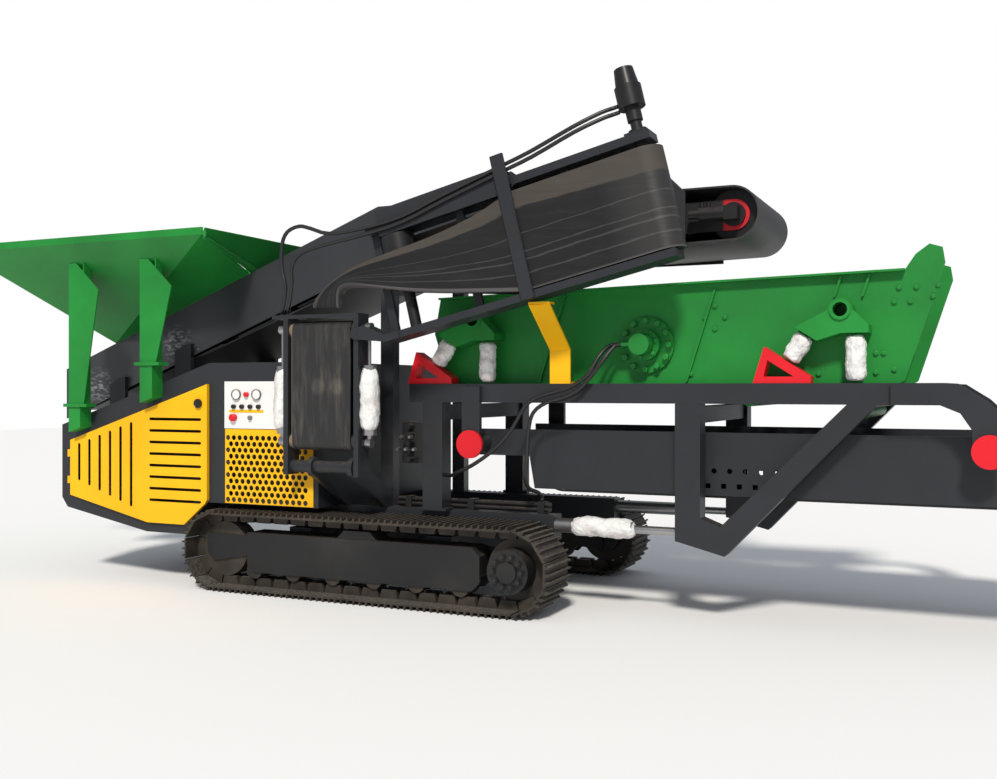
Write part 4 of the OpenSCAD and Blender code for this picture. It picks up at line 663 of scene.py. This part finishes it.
def shapeSlack(setup):
    columns = len(setup["high"])
    lips = len(setup["lip"])
    pickNone()
    bpy.ops.mesh.primitive_grid_add(x_subdivisions=columns - 1, y_subdivisions=setup["rows"] + lips - 1, size=1)
    sheet = bpy.context.object
    sheet.data.attributes.new("across", "FLOAT", "POINT")
    pickOnly(sheet)
    bpy.ops.object.mode_set(mode="EDIT")
    shape = bmesh.from_edit_mesh(sheet.data)
    share = shape.verts.layers.float["across"]
    stations = sorted({round(vert.co.x, 4) for vert in shape.verts})
    levels = sorted({round(vert.co.y, 4) for vert in shape.verts})
    for vert in shape.verts:
        column = stations.index(round(vert.co.x, 4))
        row = levels.index(round(vert.co.y, 4))
        low, high = Vector(setup["low"][column]), Vector(setup["high"][column])
        if row < lips:
            vert.co = low + Vector(setup["lip"][row]) * setup["curl"][column]
        else:
            vert[share] = (row - lips) / (setup["rows"] - 1)
            vert.co = low.lerp(high, vert[share])
    bmesh.update_edit_mesh(sheet.data)
    bpy.ops.mesh.select_all(action="SELECT")
    bpy.ops.mesh.normals_make_consistent(inside=False)
    bpy.ops.object.mode_set(mode="OBJECT")
    roundOff(sheet, 2)
    shell = sheet.modifiers.new("shell", "SOLIDIFY")
    shell.thickness = setup["thickness"]
    shell.offset = 0
    bpy.ops.object.modifier_apply(modifier="shell")
    return sheet


def cutBelt(setup, keepHead):  # the belt's end at the head drum, or else its far run behind the cut
    piece = addObject("cutBelt", nodes["head_belt"].data.copy())
    place = hinge + Vector(foldAlong) * setup["cut"]

    def part():
        bpy.ops.mesh.remove_doubles(threshold=0.0001)
        bpy.ops.mesh.bisect(plane_co=place, plane_no=foldAlong, use_fill=True,
                            clear_inner=keepHead, clear_outer=not keepHead)
    editFaces(piece, everyFace, part)
    if not keepHead:
        low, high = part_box("head_belt")
        middle = (0, (low.y + high.y) / 2, 0)
        editFaces(piece, everyFace,
                  lambda: bpy.ops.mesh.bisect(plane_co=middle, plane_no=(0, 1, 0), use_fill=True, clear_inner=True))
    share = piece.data.attributes.new("across", "FLOAT", "POINT")
    for vert in piece.data.vertices:
        share.data[vert.index].value = ((vert.co - hinge).dot(Vector(foldAcross)) + setup["lowEdge"]) / setup["width"]
    return piece


def finishBelt(belt, node):
    coverWith(belt, headRubber)
    shadeRound(belt, 40)
    level = belt.modifiers.new("level", "WEIGHTED_NORMAL")  # wide faces stay flat beside the drum's bend
    level.keep_sharp = True
    bpy.ops.object.modifier_apply(modifier="level")
    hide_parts(node)


def makeSideBelt(setup):
    straight = joinPieces("sideBelt", [cutBelt(setup, True), cutBelt(setup, False)])
    finishBelt(straight, "head_belt")
    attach(straight, "side_head")
    slack = shapeSlack(setup)
    slack.name = "slackBelt"
    finishBelt(slack, "head_slack_belt")
    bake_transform(slack, "side_tower", "side_head", (-1.0, 0, 2.1), (-0.2, 0, 2.37))  # eased on both sides of the hinge
    print("side belt made")


# Weld beads down the hopper's front corners
beadShape = {"sides": 10, "cuts": 24, "tuck": 0.8, "foldSize": 0.03, "foldDepth": 0.006, "creaseSize": 0.012,
             "cornerIn": (0.014, 0.012, 0.006), "footIn": 0.022, "footSide": 0.50, "topIn": (0.030, 0.070),
             "radius": 0.020, "tip": (0.006, 0, 0.066), "tipRadius": 0.013}


def setBeads(setup):
    low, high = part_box("hopper_front_plate")
    beads = []
    for side in (-1, 1):
        inX, inY, inZ = setup["cornerIn"]
        corner = Vector((high.x - inX, side * (high.y - inY), high.z - inZ))
        foot = Vector((low.x + setup["footIn"], side * setup["footSide"], low.z + setup["footIn"]))
        top = Vector((high.x - setup["topIn"][0], corner.y, high.z - setup["topIn"][1]))
        beads.append(makeFilm(foot, top, setup["radius"], setup))
        beads.append(makeFilm(corner - Vector(setup["tip"]), corner, setup["tipRadius"], setup))
    bead = joinPieces("hopperBeads", beads)
    coverWith(bead, greenPaint)
    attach(bead, "machine")
    print("beads set")


# Dials, lamps and switches on the control panel
panelSetup = {  # each size is a radius and a reach
    "faceIn": 0.024, "gauges": (-1.788, -1.598), "gaugeLevel": 1.500, "gaugeSize": (0.040, 0.022),
    "lamp": -1.693, "lampSize": (0.019, 0.024), "key": (-1.658, 1.324), "keySize": (0.016, 0.022),
    "switches": (-1.813, -1.735, -1.657, -1.579), "switchLevel": 1.408, "switchSize": (0.017, 0.022),
    "stop": (-1.813, 1.324), "stopSize": (0.028, 0.034),
    "strip": (-1.860, -1.540, 1.362, 1.384), "stripDepth": 0.003, "stripOut": 0.001, "stripBevel": 0.004,
}
knobShape = {"rim": 0.3, "rise": 0.22, "dishRim": 0.16, "dishDrop": 0.35}  # shares of radius and reach


def makeKnob(x, face, z, size, finish, sides=20, dish=False, second=None):
    radius, reach = size
    pickNone()
    bpy.ops.mesh.primitive_cylinder_add(vertices=sides, radius=radius, depth=reach, location=(0, 0, reach / 2))
    knob = bpy.context.object
    bpy.ops.object.transform_apply()
    knob.data.materials.append(finish)
    if second:
        knob.data.materials.append(second)

    def crown():
        bpy.ops.mesh.inset(thickness=radius * knobShape["dishRim" if dish else "rim"])
        rise = -knobShape["dishDrop"] if dish else knobShape["rise"]
        bpy.ops.transform.translate(value=(0, 0, rise * reach))
        if second:
            knob.active_material_index = 1
            bpy.ops.object.material_slot_assign()
    editFaces(knob, facesUp, crown)
    knob.data.transform(Matrix.Translation((x, face, z)) @ Matrix.Rotation(math.radians(90), 4, "X"))
    shadeRound(knob, 35)
    return knob


def dressPanel(setup):
    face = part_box("control_panel")[0].y + setup["faceIn"]
    (keyX, keyZ), (stopX, stopZ) = setup["key"], setup["stop"]
    dials = [makeKnob(x, face, setup["gaugeLevel"], setup["gaugeSize"], greySteel, 28, True, whitePaint)
             for x in setup["gauges"]]
    dials.append(makeKnob(keyX, face, keyZ, setup["keySize"], greySteel))
    reds = [makeKnob(setup["lamp"], face, setup["gaugeLevel"], setup["lampSize"], redPaint),
            makeKnob(stopX, face, stopZ, setup["stopSize"], redPaint, 24)]
    blacks = [makeKnob(x, face, setup["switchLevel"], setup["switchSize"], blackPaint, 16)
              for x in setup["switches"]]
    left, right, low, high = setup["strip"]
    pickNone()
    bpy.ops.mesh.primitive_cube_add(size=1)
    strip = bpy.context.object
    strip.data.transform(Matrix.Translation(((left + right) / 2, face - setup["stripOut"], (low + high) / 2))
                         @ Matrix.Diagonal((right - left, setup["stripDepth"], high - low, 1)))
    editEdges(strip, lambda a, b: abs(a.y - b.y) > setup["stripDepth"] / 3,
              lambda: bpy.ops.mesh.bevel(offset=setup["stripBevel"], segments=2))
    strip.data.materials.append(yellowPaint)
    panel = joinPieces("panelControls", dials + reds + blacks + [strip])
    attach(panel, "machine")
    print("panel dressed")


latchSetup = {"place": (-2.143, 1.430), "size": (0.036, 0.014), "sink": 0.004}


def setLatch(setup):
    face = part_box("engine_door")[0].y + setup["sink"]
    x, z = setup["place"]
    latch = makeKnob(x, face, z, setup["size"], blackPaint, 24, True)
    latch.name = "doorLatch"
    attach(latch, "engine_door")
    print("latch set")


fittingSetup = {"count": 5, "size": (0.016, 0.035), "levels": (0.35, 0.65)}  # levels are shares of the block's height


def setFittings(setup):
    low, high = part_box("valve_block")
    fittings = []
    for step in range(setup["count"]):
        x = low.x + (high.x - low.x) * (step + 0.5) / setup["count"]
        z = low.z + (high.z - low.z) * setup["levels"][step % 2]
        fittings.append(makeKnob(x, low.y, z, setup["size"], rodSteel, 6))
    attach(joinPieces("valveFittings", fittings), "machine")
    print("fittings set")


setCamera(cameraSetup)
setLights(lightSetup)
setFloor(lightSetup)
dressNodes()
boltMaster = makeBolt(boltShape)
boltScreen(screenBolts, boltMaster)
boltDrives(driveBolts, boltMaster)
bpy.data.objects.remove(boltMaster)
wrapSprings(springPlaces)
wrapCylinders(cylinderFilm, ramFilm)
bendPieces(softPieces)
makeSideBelt(beltShape)
setBeads(beadShape)
dressPanel(panelSetup)
setLatch(latchSetup)
setFittings(fittingSetup)

bpy.context.scene.view_settings.view_transform = "Standard"
print("scene ready")
